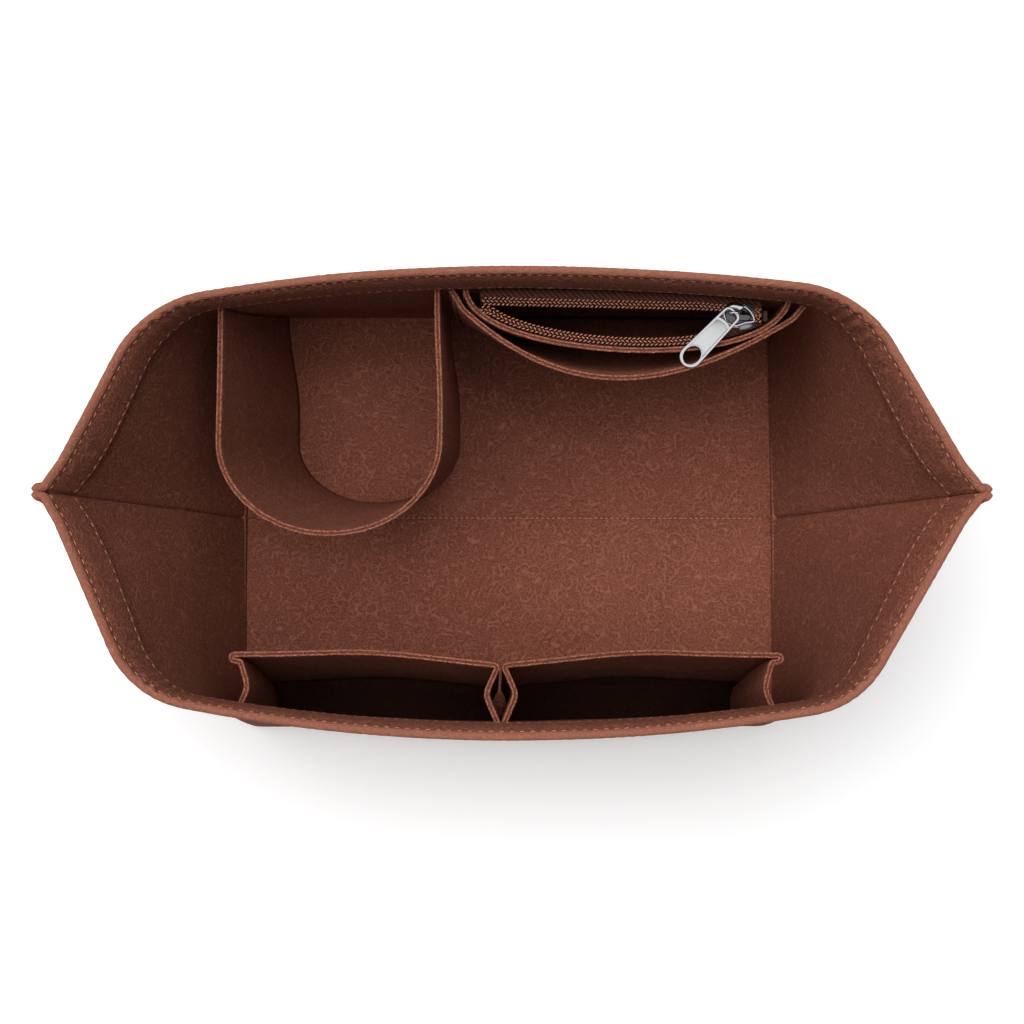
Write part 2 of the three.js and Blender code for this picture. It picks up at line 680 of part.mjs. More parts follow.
// The slider's plates in plan, mouth towards -X
function platePlan(inset) {
  const front = -SLIDER_LENGTH / 2;
  const back = SLIDER_LENGTH / 2;
  const mouth = SLIDER_MOUTH / 2 - inset;
  const tail = SLIDER_TAIL / 2 - inset;
  const plan = new THREE.Shape();
  plan.moveTo(front, -mouth + 2);
  plan.quadraticCurveTo(front, -mouth, front + 2.2, -mouth);
  plan.bezierCurveTo(front + 5.5, -mouth, front + 6.5, -tail, back - 4, -tail);
  plan.lineTo(back, -tail);
  plan.lineTo(back, tail);
  plan.lineTo(back - 4, tail);
  plan.bezierCurveTo(front + 6.5, tail, front + 5.5, mouth, front + 2.2, mouth);
  plan.quadraticCurveTo(front, mouth, front, mouth - 2);
  return plan;
}

// A prism between two heights
const slab = (shape, low, high) => toSolid(prism(shape, high - low)).translate([0, 0, low]);

// The slider's body: two plates held apart by the wedge, with rails that leave a slot for the tapes
function sliderBody() {
  const slotPlan = roundedBox(2 * SLIDER_LENGTH, 2 * SLIDER_MOUTH, 1);
  const front = -SLIDER_LENGTH / 2 + 0.4;
  const wedge = new THREE.Shape();
  wedge.moveTo(front, -0.8);
  wedge.lineTo(front, 0.8);
  wedge.lineTo(front + 3.6, 0.15);
  wedge.lineTo(front + 3.6, -0.15);
  const post = slab(wedge, PLATE_BOTTOM + SLIDER_PLATE / 2, PLATE_TOP - SLIDER_PLATE / 2);
  const channel = slab(platePlan(SLIDER_RAIL), CHANNEL_BOTTOM, CHANNEL_TOP).scale([1.3, 1, 1]);
  return toGeometry(slab(platePlan(0), PLATE_BOTTOM, PLATE_TOP)
    .subtract(channel)
    .subtract(slab(slotPlan, SLOT_BOTTOM, SLOT_TOP))
    .add(post));
}

// The bail that holds the pull, an arched bar that runs back into a small bonnet
const PULL_HEIGHT = PLATE_TOP + 1.6;
const BAIL_X = -SLIDER_LENGTH / 2 + BAIL_SETBACK;

function sliderBail() {
  const foot = PLATE_TOP + SEWN_GAP;
  const centreX = BAIL_X + BAIL_RADIUS;
  const outer = BAIL_RADIUS + BAIL_BAR / 2;
  const inner = BAIL_RADIUS - BAIL_BAR / 2;
  const bonnetX = centreX + BAIL_RADIUS - 0.6;
  const arch = new THREE.Shape();
  arch.moveTo(centreX - outer, foot);
  arch.lineTo(centreX - outer, PULL_HEIGHT);
  arch.absarc(centreX, PULL_HEIGHT, outer, Math.PI, Math.PI / 2, true);
  arch.lineTo(bonnetX + 1, PULL_HEIGHT + outer);
  arch.lineTo(bonnetX + 1, PULL_HEIGHT + inner);
  arch.lineTo(centreX, PULL_HEIGHT + inner);
  arch.absarc(centreX, PULL_HEIGHT, inner, Math.PI / 2, Math.PI, false);
  arch.lineTo(centreX - inner, foot);
  const bar = toSolid(prism(arch, BAIL_BAR).rotateX(Math.PI / 2)).translate([0, BAIL_BAR / 2, 0]);
  const half = BONNET_WIDTH / 2;
  const plan = new THREE.Shape();
  plan.moveTo(bonnetX, 0.9 - half);
  plan.lineTo(bonnetX + BONNET_LENGTH - half, -half);
  plan.absarc(bonnetX + BONNET_LENGTH - half, 0, half, -Math.PI / 2, Math.PI / 2);
  plan.lineTo(bonnetX, half - 0.9);
  const bonnet = toSolid(prism(plan, PULL_HEIGHT + outer - foot, { bevel: 0.6 })).translate([0, 0, foot]);
  return toGeometry(bar.add(bonnet));
}

function roundedBox(width, height, radius) {
  const shape = new THREE.Shape();
  const [w, h] = [width / 2, height / 2];
  shape.absarc(w - radius, radius - h, radius, -Math.PI / 2, 0);
  shape.absarc(w - radius, h - radius, radius, 0, Math.PI / 2);
  shape.absarc(radius - w, h - radius, radius, Math.PI / 2, Math.PI);
  shape.absarc(radius - w, radius - h, radius, Math.PI, 1.5 * Math.PI);
  return shape;
}

// The pull, lying along +X from the middle of its eye
function pullTab() {
  const eyeEnd = PULL_EYE.length / 2 + PULL_EYE.bar;
  const tip = PULL_LENGTH - eyeEnd;
  const tipRadius = PULL_WIDTH.tip / 2;
  const eyeHalf = PULL_WIDTH.eye / 2;
  const holeX = tip - PULL_HOLE.bar - PULL_HOLE.length / 2;
  const recessX = holeX - (PULL_HOLE.length + PULL_RECESS.length) / 2 - PULL_RECESS.beforeHole;
  const plan = new THREE.Shape();
  plan.absarc(tip - tipRadius, 0, tipRadius, -Math.PI / 2, Math.PI / 2);
  plan.absarc(PULL_SHOULDER - eyeEnd, eyeHalf - PULL_SHOULDER, PULL_SHOULDER, Math.PI / 2, Math.PI);
  plan.absarc(PULL_SHOULDER - eyeEnd, PULL_SHOULDER - eyeHalf, PULL_SHOULDER, Math.PI, 1.5 * Math.PI);
  const eyePlan = roundedBox(PULL_EYE.length, PULL_EYE.width, 1.4);
  const eye = toSolid(prism(eyePlan, 2 * PULL_THICKNESS, { steps: 3 }));
  const hole = new THREE.Shape();
  hole.absellipse(holeX, 0, PULL_HOLE.length / 2, PULL_HOLE.width / 2, 0, 2 * Math.PI);
  const blank = toSolid(prism(plan, PULL_THICKNESS, { bevel: 0.2, steps: 5 }));
  const recessPlan = roundedBox(PULL_RECESS.length, PULL_RECESS.width, 0.6);
  const recess = toSolid(prism(recessPlan, PULL_THICKNESS, { steps: 1 }));
  const tab = blank
    .subtract(eye.translate([0, 0, -PULL_THICKNESS / 2]))
    .subtract(toSolid(prism(hole, 2 * PULL_THICKNESS)).translate([0, 0, -PULL_THICKNESS / 2]))
    .subtract(recess.translate([recessX, 0, PULL_THICKNESS - PULL_RECESS.depth]))
    .subtract(recess.translate([recessX, 0, PULL_RECESS.depth - PULL_THICKNESS]));
  return toGeometry(tab.translate([0, 0, -PULL_THICKNESS / 2]));
}

// A moulded stop across the closed end of both rows
function bottomStop() {
  const width = 2 * ROW_CLOSED + COIL_WIDTH / 2;
  const plan = roundedBox(STOP_LENGTH, width, 0.8);
  return prism(plan, COIL_HEIGHT, { bevel: 0.4, steps: 2 }).translate(0, 0, -COIL_HEIGHT / 2);
}

const felt = { color: 0x74402f, roughness: 0.95, metalness: 0 };
const tapeCloth = { color: 0x5d3326, roughness: 0.85, metalness: 0 };
const nylon = { color: 0x8c4a33, roughness: 0.45, metalness: 0 };
const steel = { color: 0xc9ccd0, roughness: 0.2, metalness: 1 };

const group = new THREE.Group();

function addPiece(parent, name, geometry, finish) {
  const mesh = new THREE.Mesh(geometry, new THREE.MeshStandardMaterial(finish));
  mesh.name = name;
  parent.add(mesh);
  return mesh;
}

addPiece(group, "front_body_panel", bodyGeometry(FRONT), felt);
addPiece(group, "back_body_panel", bodyGeometry(BACK), felt);
addPiece(group, "bottle_pocket_wall", bottlePocket(), felt);
addPiece(group, "zip_pocket_panel", patchPocket(ZIP_POCKET, noCover, 22), felt);
addPiece(group, "slip_pocket_panel", patchPocket(SLIP_POCKET, slipCover, 26), felt);
addPiece(group, "front_pocket_left", frontPocket(BASE_LEFT + FRONT_POCKETS_AFTER_END, 1), felt);
addPiece(group, "front_pocket_right", frontPocket(BASE_RIGHT - FRONT_POCKETS_BEFORE_END, -1), felt);

addPiece(group, "zip_coil_back", coil(1), nylon);
addPiece(group, "zip_coil_front", coil(-1), nylon);
addPiece(group, "zip_tape_back", zipTape(1, (x, z, inside) => faceY(BACK, x, z, inside)), tapeCloth);
addPiece(group, "zip_tape_front", zipTape(-1, zipPanelFaceY), tapeCloth);

const slider = new THREE.Group();
slider.position.set(SLIDER_X, CHAIN_Y, CHAIN_Z);
slider.rotation.z = -degToRad(CHAIN_ANGLE);
group.add(slider);
addPiece(slider, "slider_body", sliderBody(), steel);
addPiece(slider, "slider_bail", sliderBail(), steel);

const stop = addPiece(slider, "zip_bottom_stop", bottomStop(), nylon);
stop.position.x = SLIDER_FROM_STOP + COIL_WIRE + SEWN_GAP + STOP_LENGTH / 2;

// The pull hangs over towards the front left, its far end on the pocket edges
const pull = addPiece(slider, "pull_tab", pullTab(), steel);
pull.position.set(BAIL_X, -PULL_OFFSET, PULL_HEIGHT);
pull.rotation.set(0, degToRad(PULL_SLOPE), Math.PI + degToRad(PULL_HEADING), "ZYX");

export default group;
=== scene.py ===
import bpy
import math
import numpy as np
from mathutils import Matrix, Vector, noise


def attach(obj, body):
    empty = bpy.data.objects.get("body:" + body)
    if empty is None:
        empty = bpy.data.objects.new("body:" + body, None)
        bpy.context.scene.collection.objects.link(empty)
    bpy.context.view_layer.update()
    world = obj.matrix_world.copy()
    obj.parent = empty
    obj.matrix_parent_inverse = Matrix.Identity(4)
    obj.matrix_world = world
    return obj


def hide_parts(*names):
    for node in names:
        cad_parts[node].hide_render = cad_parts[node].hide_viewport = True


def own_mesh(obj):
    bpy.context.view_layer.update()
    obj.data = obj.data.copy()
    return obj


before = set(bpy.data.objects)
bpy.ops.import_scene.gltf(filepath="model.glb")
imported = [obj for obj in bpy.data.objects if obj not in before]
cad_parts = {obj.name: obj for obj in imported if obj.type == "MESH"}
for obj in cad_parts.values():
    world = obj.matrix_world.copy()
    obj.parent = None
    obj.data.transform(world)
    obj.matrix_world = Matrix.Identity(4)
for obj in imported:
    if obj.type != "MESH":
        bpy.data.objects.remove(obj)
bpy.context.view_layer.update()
mm = 0.001
upward = np.array([0.0, 0.0, 1.0])
white = (1.0, 1.0, 1.0, 1.0)

print("camera and light")
camera = {
    "lens": 56.89,
    "place": (-0.00904, -0.05579, 0.75946),
    "turn": (0.0773, -0.0134, -0.0003),
}
lamps = {
    "overheadLight": {"kind": "AREA", "place": (-0.32, 0.36, 2.0), "aim": (0.0, 0.0, 0.0), "power": 67.0,
                      "settings": {"shape": "DISK", "size": 2.4}},
    "baseLight": {"kind": "SPOT", "place": (0.05, 0.12, 2.2), "aim": (0.035, -0.03, 0.0), "power": 70.0,
                  "settings": {"spot_size": math.radians(7.2), "spot_blend": 1.0, "shadow_soft_size": 0.2}},
}
room = {"sky": 0.02, "floorGlow": 0.14, "floorTone": 0.96, "floorReach": 3.0, "floorDrop": 0.0002}

eye = bpy.data.objects.new("camera", bpy.data.cameras.new("camera"))
eye.data.sensor_width = 36.0
eye.data.lens = camera["lens"]
eye.data.clip_start = 0.01
eye.location = camera["place"]
eye.rotation_euler = camera["turn"]
bpy.context.collection.objects.link(eye)
bpy.context.scene.camera = eye
bpy.context.scene.view_settings.view_transform = "Standard"

# A large soft light overhead, and a soft round one on the middle of the base
for name, look in lamps.items():
    lamp = bpy.data.objects.new(name, bpy.data.lights.new(name, look["kind"]))
    lamp.data.energy = look["power"]
    for setting, value in look["settings"].items():
        setattr(lamp.data, setting, value)
    lamp.location = look["place"]
    lamp.rotation_euler = (Vector(look["aim"]) - Vector(look["place"])).to_track_quat("-Z", "Y").to_euler()
    lamp.visible_glossy = False
    bpy.context.collection.objects.link(lamp)


# Node shorthand
def newMaterial(name):
    material = bpy.data.materials.new(name)
    material.use_nodes = True
    tree = material.node_tree
    return material, tree, tree.nodes["Principled BSDF"]


def node(tree, kind, **settings):
    made = tree.nodes.new(kind)
    for key, value in settings.items():
        if key in made.inputs.keys():
            made.inputs[key].default_value = value
        else:
            setattr(made, key, value)
    return made


def join(tree, source, target):
    tree.links.new(source, target)


# Joins a socket to another node, or sets it to a plain value
def feed(tree, value, socket):
    if isinstance(value, bpy.types.NodeSocket):
        join(tree, value, socket)
    elif value is not None:
        socket.default_value = value


def objectPlace(tree):
    return node(tree, "ShaderNodeTexCoord").outputs["Object"]


def textureAt(tree, place, kind, **settings):
    made = node(tree, kind, **settings)
    join(tree, place, made.inputs["Vector"])
    return made


def arithmetic(tree, operation, first, second=None):
    made = node(tree, "ShaderNodeMath", operation=operation)
    feed(tree, first, made.inputs[0])
    feed(tree, second, made.inputs[1])
    return made.outputs[0]


def mapRange(tree, value, low, high, start=0.0, end=1.0):
    made = node(tree, "ShaderNodeMapRange")
    for socket, given in zip(list(made.inputs)[:5], (value, low, high, start, end)):
        feed(tree, given, socket)
    return made.outputs[0]


def blendColors(tree, factor, first, second):
    made = node(tree, "ShaderNodeMix", data_type="RGBA")
    for place, value in ((0, factor), (6, first), (7, second)):
        feed(tree, value, made.inputs[place])
    return made.outputs[2]


def addBump(tree, shader, height, strength, distance):
    bump = node(tree, "ShaderNodeBump", Strength=strength, Distance=distance)
    join(tree, height, bump.inputs["Height"])
    join(tree, bump.outputs[0], shader.inputs["Normal"])


def linear(red, green, blue):
    tone = [channel / 255 for channel in (red, green, blue)]
    return tuple(c / 12.92 if c <= 0.04045 else ((c + 0.055) / 1.055) ** 2.4 for c in tone) + (1.0,)


print("materials")
feltLook = {
    "dark": linear(88, 49, 37),
    "middle": linear(122, 72, 57),
    "light": linear(164, 108, 87),
    "cut": linear(180, 113, 89),
    "cutShade": linear(96, 53, 41),
    # A near-black tone, blended in as painted shade
    "shadeTone": linear(20, 11, 8),
    # The next four paint a paler colour on the top of the rolled rim between two heights, a painted highlight
    "rolled": linear(182, 120, 98),
    "rimHighlight": 0.32,
    "rimHighlightFrom": 0.1368,
    "rimHighlightTo": 0.1385,
    "clouds": 30.0,
    "grain": 1300.0,
    "curls": 155.0,
    "curlSets": ((1.0, 0.0), (1.3, 3.1), (0.8, 7.7)),
    "curlDrift": 0.6,
    "rings": 3.4,
    "kept": (0.51, 0.58),
    "lines": ((0.0, 0.14), (0.36, 0.16)),
    "lightLine": 0.55,
    "darkLine": 0.45,
    "bump": 0.6,
    "faceDepth": 0.0003,
    "cutDepth": 0.0005,
    "finish": {"Roughness": 0.9, "Sheen Weight": 0.03, "Sheen Roughness": 0.5, "Specular IOR Level": 0.15,
               "Sheen Tint": linear(214, 150, 126)},
}


# Curly fibres: parts of rings round scattered points, each a light line with a line of painted shade beside
# it
def fibreLines(tree, place, scale, offset):
    shifted = node(tree, "ShaderNodeVectorMath", operation="ADD")
    shifted.inputs[1].default_value = (offset, offset * 0.7, -offset)
    join(tree, place, shifted.inputs[0])
    shifted = shifted.outputs[0]
    drift = textureAt(tree, shifted, "ShaderNodeTexNoise", Scale=scale * 1.1, Detail=1.0)
    bend = node(tree, "ShaderNodeVectorMath", operation="MULTIPLY_ADD")
    join(tree, drift.outputs["Color"], bend.inputs[0])
    bend.inputs[1].default_value = (feltLook["curlDrift"] / scale,) * 3
    join(tree, shifted, bend.inputs[2])
    rings = textureAt(tree, bend.outputs[0], "ShaderNodeTexVoronoi", Scale=scale)
    breaks = textureAt(tree, shifted, "ShaderNodeTexNoise", Scale=scale * 1.5, Detail=1.0)
    phase = arithmetic(tree, "MULTIPLY", rings.outputs["Distance"], feltLook["rings"])
    kept = mapRange(tree, breaks.outputs[0], *feltLook["kept"])
    lines = []
    for lag, width in feltLook["lines"]:
        wave = arithmetic(tree, "PINGPONG", arithmetic(tree, "ADD", phase, lag), 0.5)
        lines.append(arithmetic(tree, "MULTIPLY", mapRange(tree, wave, 0.0, width, 1.0, 0.0), kept))
    return lines


def makeFelt(name, cut=False, paintedShade=0.0):
    material, tree, shader = newMaterial(name)
    place = objectPlace(tree)
    cloud = textureAt(tree, place, "ShaderNodeTexNoise", Scale=feltLook["clouds"], Detail=4.0, Roughness=0.6)
    grain = textureAt(tree, place, "ShaderNodeTexNoise", Scale=feltLook["grain"], Detail=2.0, Roughness=0.6)
    layers = [fibreLines(tree, place, feltLook["curls"] * size, offset)
              for size, offset in feltLook["curlSets"]]
    curls, shade = (
        arithmetic(tree, "MAXIMUM", arithmetic(tree, "MAXIMUM", lines[0], lines[1]), lines[2])
        for lines in zip(*layers))
    speckle = mapRange(tree, grain.outputs[0], 0.34, 0.66)
    if cut:
        color = blendColors(tree, speckle, feltLook["cutShade"], feltLook["cut"])
    else:
        patches = mapRange(tree, cloud.outputs[0], 0.3, 0.7, 0.35, 0.0)
        color = blendColors(tree, patches, feltLook["middle"], feltLook["dark"])
        color = blendColors(tree, mapRange(tree, speckle, 0.0, 0.55, 0.55, 0.0), color, feltLook["dark"])
        color = blendColors(tree, mapRange(tree, speckle, 0.5, 1.0, 0.0, 0.3), color, feltLook["light"])
    # The dark lines are painted shade beside the lighter fibres
    for lines, strength, tone in ((shade, "darkLine", "dark"), (curls, "lightLine", "light")):
        factor = arithmetic(tree, "MULTIPLY", lines, feltLook[strength])
        color = blendColors(tree, factor, color, feltLook[tone])
    # The top of the rolled rim is painted paler, a painted highlight where it faces the light
    level = node(tree, "ShaderNodeSeparateXYZ")
    join(tree, place, level.inputs[0])
    rimHighlight = mapRange(tree, level.outputs[2], feltLook["rimHighlightFrom"], feltLook["rimHighlightTo"], 0.0, feltLook["rimHighlight"])
    color = blendColors(tree, rimHighlight, color, feltLook["rolled"])
    # Painted shade: a blend towards the near-black tone, for the pocket bottoms and the middle of cut edges
    color = blendColors(tree, paintedShade, color, feltLook["shadeTone"])
    join(tree, color, shader.inputs["Base Color"])
    furrows = arithmetic(tree, "SUBTRACT", curls, arithmetic(tree, "MULTIPLY", shade, 0.6))
    addBump(tree, shader, arithmetic(tree, "ADD", furrows, speckle), feltLook["bump"],
            feltLook["cutDepth" if cut else "faceDepth"])
    for key, value in feltLook["finish"].items():
        shader.inputs[key].default_value = value
    return material


felt = makeFelt("brownFelt")
feltEdge = makeFelt("cutFeltEdge", cut=True)
# Painted shade: the front pockets' bottoms almost black, the middle of cut edges darker
shadedPocketBottom = makeFelt("pocketBottomPaintedShade", paintedShade=0.92)
cutEdgeShadedCore = makeFelt("cutEdgeShadedCore", paintedShade=0.45)

yarns = {
    "sewingThread": {"first": linear(216, 160, 136), "second": linear(158, 104, 84), "roughness": 0.6},
    # The coil's wire is painted dark as painted shade between its turns, the bead strokes paler as painted
    # highlights
    "coilShadedNylon": {"first": linear(52, 26, 19), "second": linear(24, 12, 9), "roughness": 0.35},
    "coilBeadHighlights": {"first": linear(226, 150, 118), "second": linear(120, 66, 50), "roughness": 0.3},
    "zipTapeWeave": {"first": linear(30, 15, 11), "second": linear(80, 43, 32), "roughness": 0.8,
                     "bands": {"Scale": 260.0, "Distortion": 0.4, "Detail": 1.0}, "bump": (0.6, 0.0002)},
}
twist = {"bands": {"Scale": 2600.0, "Distortion": 2.0, "Detail": 2.0}, "bump": (0.4, 0.0001)}


# Slanting bands: the twist of a thread, or the ribs of a woven tape
def makeYarn(name):
    look = {**twist, **yarns[name]}
    material, tree, shader = newMaterial(name)
    bands = textureAt(tree, objectPlace(tree), "ShaderNodeTexWave", bands_direction="DIAGONAL",
                      **look["bands"]).outputs["Fac"]
    join(tree, blendColors(tree, bands, look["first"], look["second"]), shader.inputs["Base Color"])
    addBump(tree, shader, bands, *look["bump"])
    shader.inputs["Roughness"].default_value = look["roughness"]
    return material


thread, shadedNylon, beadHighlights, tapeWeave = (makeYarn(name) for name in yarns)

# The grey and dark tones are the bright nickel painted darker: painted shade on the slider's notch, wing and
# hollow plate, and a painted dark reflection on the bail's cap
nickels = {"brightNickel": (214, 216, 219, 0.14), "satinNickel": (220, 221, 223, 0.4),
           "shadedGreyNickel": (148, 150, 153, 0.35), "shadedDarkNickel": (96, 96, 98, 0.2)}


def makeMetal(name):
    *tone, roughness = nickels[name]
    tone = linear(*tone)
    material, tree, shader = newMaterial(name)
    marks = textureAt(tree, objectPlace(tree), "ShaderNodeTexNoise", Scale=900.0, Detail=4.0).outputs[0]
    join(tree, mapRange(tree, marks, 0.0, 1.0, roughness * 0.8, roughness * 1.3), shader.inputs["Roughness"])
    dull = tuple(0.92 * channel for channel in tone[:3]) + (1.0,)
    join(tree, blendColors(tree, marks, tone, dull), shader.inputs["Base Color"])
    shader.inputs["Metallic"].default_value = 1.0
    return material


brightNickel, satinNickel, shadedGreyNickel, shadedDarkNickel = (makeMetal(name) for name in nickels)


# Mesh helpers, in millimetres
def tint(points, size, seed=0.0):
    return np.array([noise.noise(Vector(p) / size + Vector((seed, seed, seed))) for p in points])


def unit(vectors):
    return vectors / np.maximum(np.linalg.norm(vectors, axis=-1, keepdims=True), 1e-12)


def levelNormals(grid):
    along = np.gradient(grid, axis=0)
    return unit(np.stack([-along[..., 1], along[..., 0], np.zeros(along.shape[:2])], -1))


def smooth(value, low, high):
    share = np.clip((np.asarray(value, float) - low) / (high - low), 0.0, 1.0)
    return share * share * (3 - 2 * share)


def mix(a, b, share):
    return a + (b - a) * share


# Distance along a path at each of its points
def runAlong(path):
    return np.concatenate([[0], np.cumsum(np.linalg.norm(np.diff(path, axis=0), axis=1))])


def columnsAt(at, run, table):
    return np.stack([np.interp(at, run, column) for column in np.asarray(table, float).T], 1)


def resample(path, spacing):
    run = runAlong(path)
    count = max(2, int(round(run[-1] / spacing)) + 1)
    return columnsAt(np.linspace(0, run[-1], count), run, path)


def addPiece(name, points, faces, materials, marks=None, body="organizer", replaces=()):
    mesh = bpy.data.meshes.new(name)
    mesh.from_pydata((np.asarray(points, float) * mm).tolist(), [], faces)
    for material in materials:
        mesh.materials.append(material)
    if marks is not None:
        mesh.polygons.foreach_set("material_index", np.asarray(marks, np.int32))
    mesh.polygons.foreach_set("use_smooth", np.ones(len(mesh.polygons), bool))
    mesh.update()
    piece = bpy.data.objects.new(name, mesh)
    bpy.context.collection.objects.link(piece)
    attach(piece, body)
    if replaces:
        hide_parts(*replaces)
    return piece


# Quads between equal loops of points, with the volume kept positive
def loopSkin(loops, marks=None, caps=None):
    count, size = loops.shape[:2]
    a = (np.arange(count - 1)[:, None] * size + np.arange(size)[None, :]).ravel()
    b = (np.arange(count - 1)[:, None] * size + (np.arange(size)[None, :] + 1) % size).ravel()
    faces = np.stack([a, b, b + size, a + size], 1).tolist()
    slots = np.tile(np.zeros(size, int) if marks is None else np.asarray(marks), count - 1).tolist()
    last = (count - 1) * size
    for cap in caps or [list(range(size))]:
        faces.append(list(reversed(cap)))
        faces.append([last + k for k in cap])
        slots += [1, 1] if marks is not None else [0, 0]
    points = loops.reshape(-1, 3)
    middle = points.mean(0)
    volume = 0.0
    for face in faces:
        corners = points[face] - middle
        for k in range(1, len(face) - 1):
            volume += np.dot(corners[0], np.cross(corners[k], corners[k + 1]))
    if volume < 0:
        faces = [list(reversed(face)) for face in faces]
    return points, faces, slots


# End caps for a thin strip's loop, as quads from one side to the other
def ladder(size):
    half = size // 2
    caps = [[k, k + 1, size - 2 - k, size - 1 - k] for k in range(half - 1)]
    return caps + [[half - 1, half, half + 1]] if size % 2 else caps


# Quads around a ring of loops, closed both ways
def ringSkin(loops):
    count, size = loops.shape[:2]
    ring, place = np.meshgrid(np.arange(count), np.arange(size), indexing="ij")
    ahead, beside = (ring + 1) % count * size, (place + 1) % size
    corners = [ring * size + place, ring * size + beside, ahead + beside, ahead + place]
    faces = np.stack(corners, -1).reshape(-1, 4)
    points = loops.reshape(-1, 3)
    a, b, c, d = (points[faces[:, k]] for k in range(4))
    volume = (np.cross(a, b) * c).sum() + (np.cross(a, c) * d).sum()
    return points, (faces if volume > 0 else faces[:, ::-1]).tolist()


# The points of a line at one height
def atHeight(x, y, z):
    return np.stack([x, y, np.full_like(x, z)], 1)


# One material slot for all the faces of each skin
def slotsOf(skins, slots):
    return [slot for skin, slot in zip(skins, slots) for _ in skin[1]]


# Many closed skins in one mesh
def gather(skins):
    points, faces, total = [], [], 0
    for made in skins:
        points.append(made[0])
        faces += [[k + total for k in face] for face in made[1]]
        total += len(made[0])
    return np.concatenate(points), faces


def tubeLoops(path, radii, sides, up=(0, 0, 1)):
    path = np.asarray(path, float)
    heading = unit(np.gradient(path, axis=0))
    turn = 2 * np.pi * np.arange(sides) / sides
    loops = []
    normal = np.asarray(up, float)
    for k, point in enumerate(path):
        normal = normal - heading[k] * normal.dot(heading[k])
        normal = normal / max(np.linalg.norm(normal), 1e-9)
        side = np.cross(heading[k], normal)
        loops.append(point + radii[k] * (np.cos(turn)[:, None] * normal + np.sin(turn)[:, None] * side))
    return np.array(loops)


# A smooth closed outline through a few points
def closedCurve(knots, steps):
    knots = np.asarray(knots, float)
    made = []
    for k in range(len(knots)):
        p0, p1, p2, p3 = (knots[(k + d) % len(knots)] for d in (-1, 0, 1, 2))
        for t in np.arange(steps) / steps:
            made.append(0.5 * (2 * p1 + (p2 - p0) * t + (2 * p0 - 5 * p1 + 4 * p2 - p3) * t ** 2
                               + (3 * p1 - 3 * p2 + p3 - p0) * t ** 3))
    return np.array(made)


# A rounded bar that follows a closed plan line at one height
def bandSkin(line, width, height, level, soft):
    ahead = unit(np.roll(line, -1, 0) - np.roll(line, 1, 0))
    side = np.stack([-ahead[:, 1], ahead[:, 0]], 1)
    loops = []
    for sx, sz in ((1, 1), (-1, 1), (-1, -1), (1, -1)):
        for turn in (0, 45, 90) if sx * sz > 0 else (90, 45, 0):
            across = sx * (width / 2 - soft + soft * math.cos(math.radians(turn)))
            rise = sz * (height / 2 - soft + soft * math.sin(math.radians(turn)))
            loops.append(np.column_stack([line + side * across, np.full(len(line), level + rise)]))
    return ringSkin(np.stack(loops, 1))


# Felt, cut and sewn
feltThick = 2.2
half = feltThick / 2
sheet = {"lip": 0.35, "bevel": 0.2, "softness": 0.12, "waviness": 1.4, "rough": 0.32, "roughness": 0.9}
stitchLook = {"length": 2.4, "step": 4.0, "width": 0.4, "slant": 0.3,
              "lift": (-0.35, 0.05, 0.16, 0.16, 0.05, -0.35), "taper": (0.6, 0.95, 1, 1, 0.95, 0.6)}


# A felt sheet: two faces and rough cut edges around a grid of middle points, grid[station][row]
def feltSheet(name, grid, replaces, seed):
    normals = levelNormals(grid)
    rows = grid.shape[1]
    bevel = half - sheet["bevel"]
    front = grid + normals * half
    back = grid - normals * half
    for face in (front, back):
        face[:, -1] -= upward * sheet["lip"]
        face[:, 0] += upward * sheet["bevel"]
    edge = [grid[:, -1] + normals[:, -1] * across - upward * sink for across, sink in (
        (bevel, 0.05), (half * 0.4, 0), (0, 0.5), (-half * 0.4, 0), (-bevel, 0.05))]
    under = [grid[:, 0] - normals[:, 0] * bevel, grid[:, 0] + normals[:, 0] * bevel]
    columns = [front[:, k] for k in range(rows)] + edge
    columns += [back[:, k] for k in reversed(range(rows))] + under
    loops = np.stack(columns, 1)
    # The two middle strips of the cut edge, in its groove, take painted shade
    marks = [0] * (rows - 1) + [1, 1, 2, 2, 1, 1] + [0] * (rows - 1) + [1] * 3
    across = np.concatenate([normals, np.repeat(normals[:, -1:], 5, 1), normals[:, ::-1],
                             np.repeat(normals[:, :1], 2, 1)], 1)
    flat = loops.reshape(-1, 3)
    wobble = tint(flat, sheet["waviness"], seed).reshape(loops.shape[:2]) * sheet["softness"]
    rough = tint(flat, sheet["roughness"], seed + 5).reshape(loops.shape[:2]) * sheet["rough"]
    loops = loops + across * wobble[..., None]
    for k in range(rows - 1, rows + 6):
        loops[:, k] += upward * rough[:, k, None]
    points, faces, slots = loopSkin(loops, marks, ladder(loops.shape[1]))
    return addPiece(name, points, faces, [felt, feltEdge, cutEdgeShadedCore], slots, replaces=replaces)


# A row of stitches along a path, dipping into the felt at both ends of each
def stitchRow(path, outward, seed, step=stitchLook["step"], length=stitchLook["length"]):
    fine = resample(path, 0.5)
    run = runAlong(path)
    at = np.linspace(0, run[-1], len(fine))
    push = unit(columnsAt(at, run, outward))
    lift = np.array(stitchLook["lift"])
    skins = []
    start = 1.0
    random = np.random.default_rng(seed)
    while start + length < run[-1]:
        here = start + length * np.linspace(0, 1, len(lift))
        line = columnsAt(here, at, fine)
        out = unit(columnsAt(here, at, push))
        skew = unit(np.cross(out, np.gradient(line, axis=0))) * (random.random() - 0.5) * stitchLook["slant"]
        line = line + out * lift[:, None] + skew * np.linspace(-1, 1, len(lift))[:, None]
        width = stitchLook["width"] / 2 * (0.9 + 0.2 * random.random())
        skins.append(loopSkin(tubeLoops(line, np.array(stitchLook["taper"]) * width, 6, out[0])))
        start += step * (0.97 + 0.06 * random.random())
    return gather(skins)


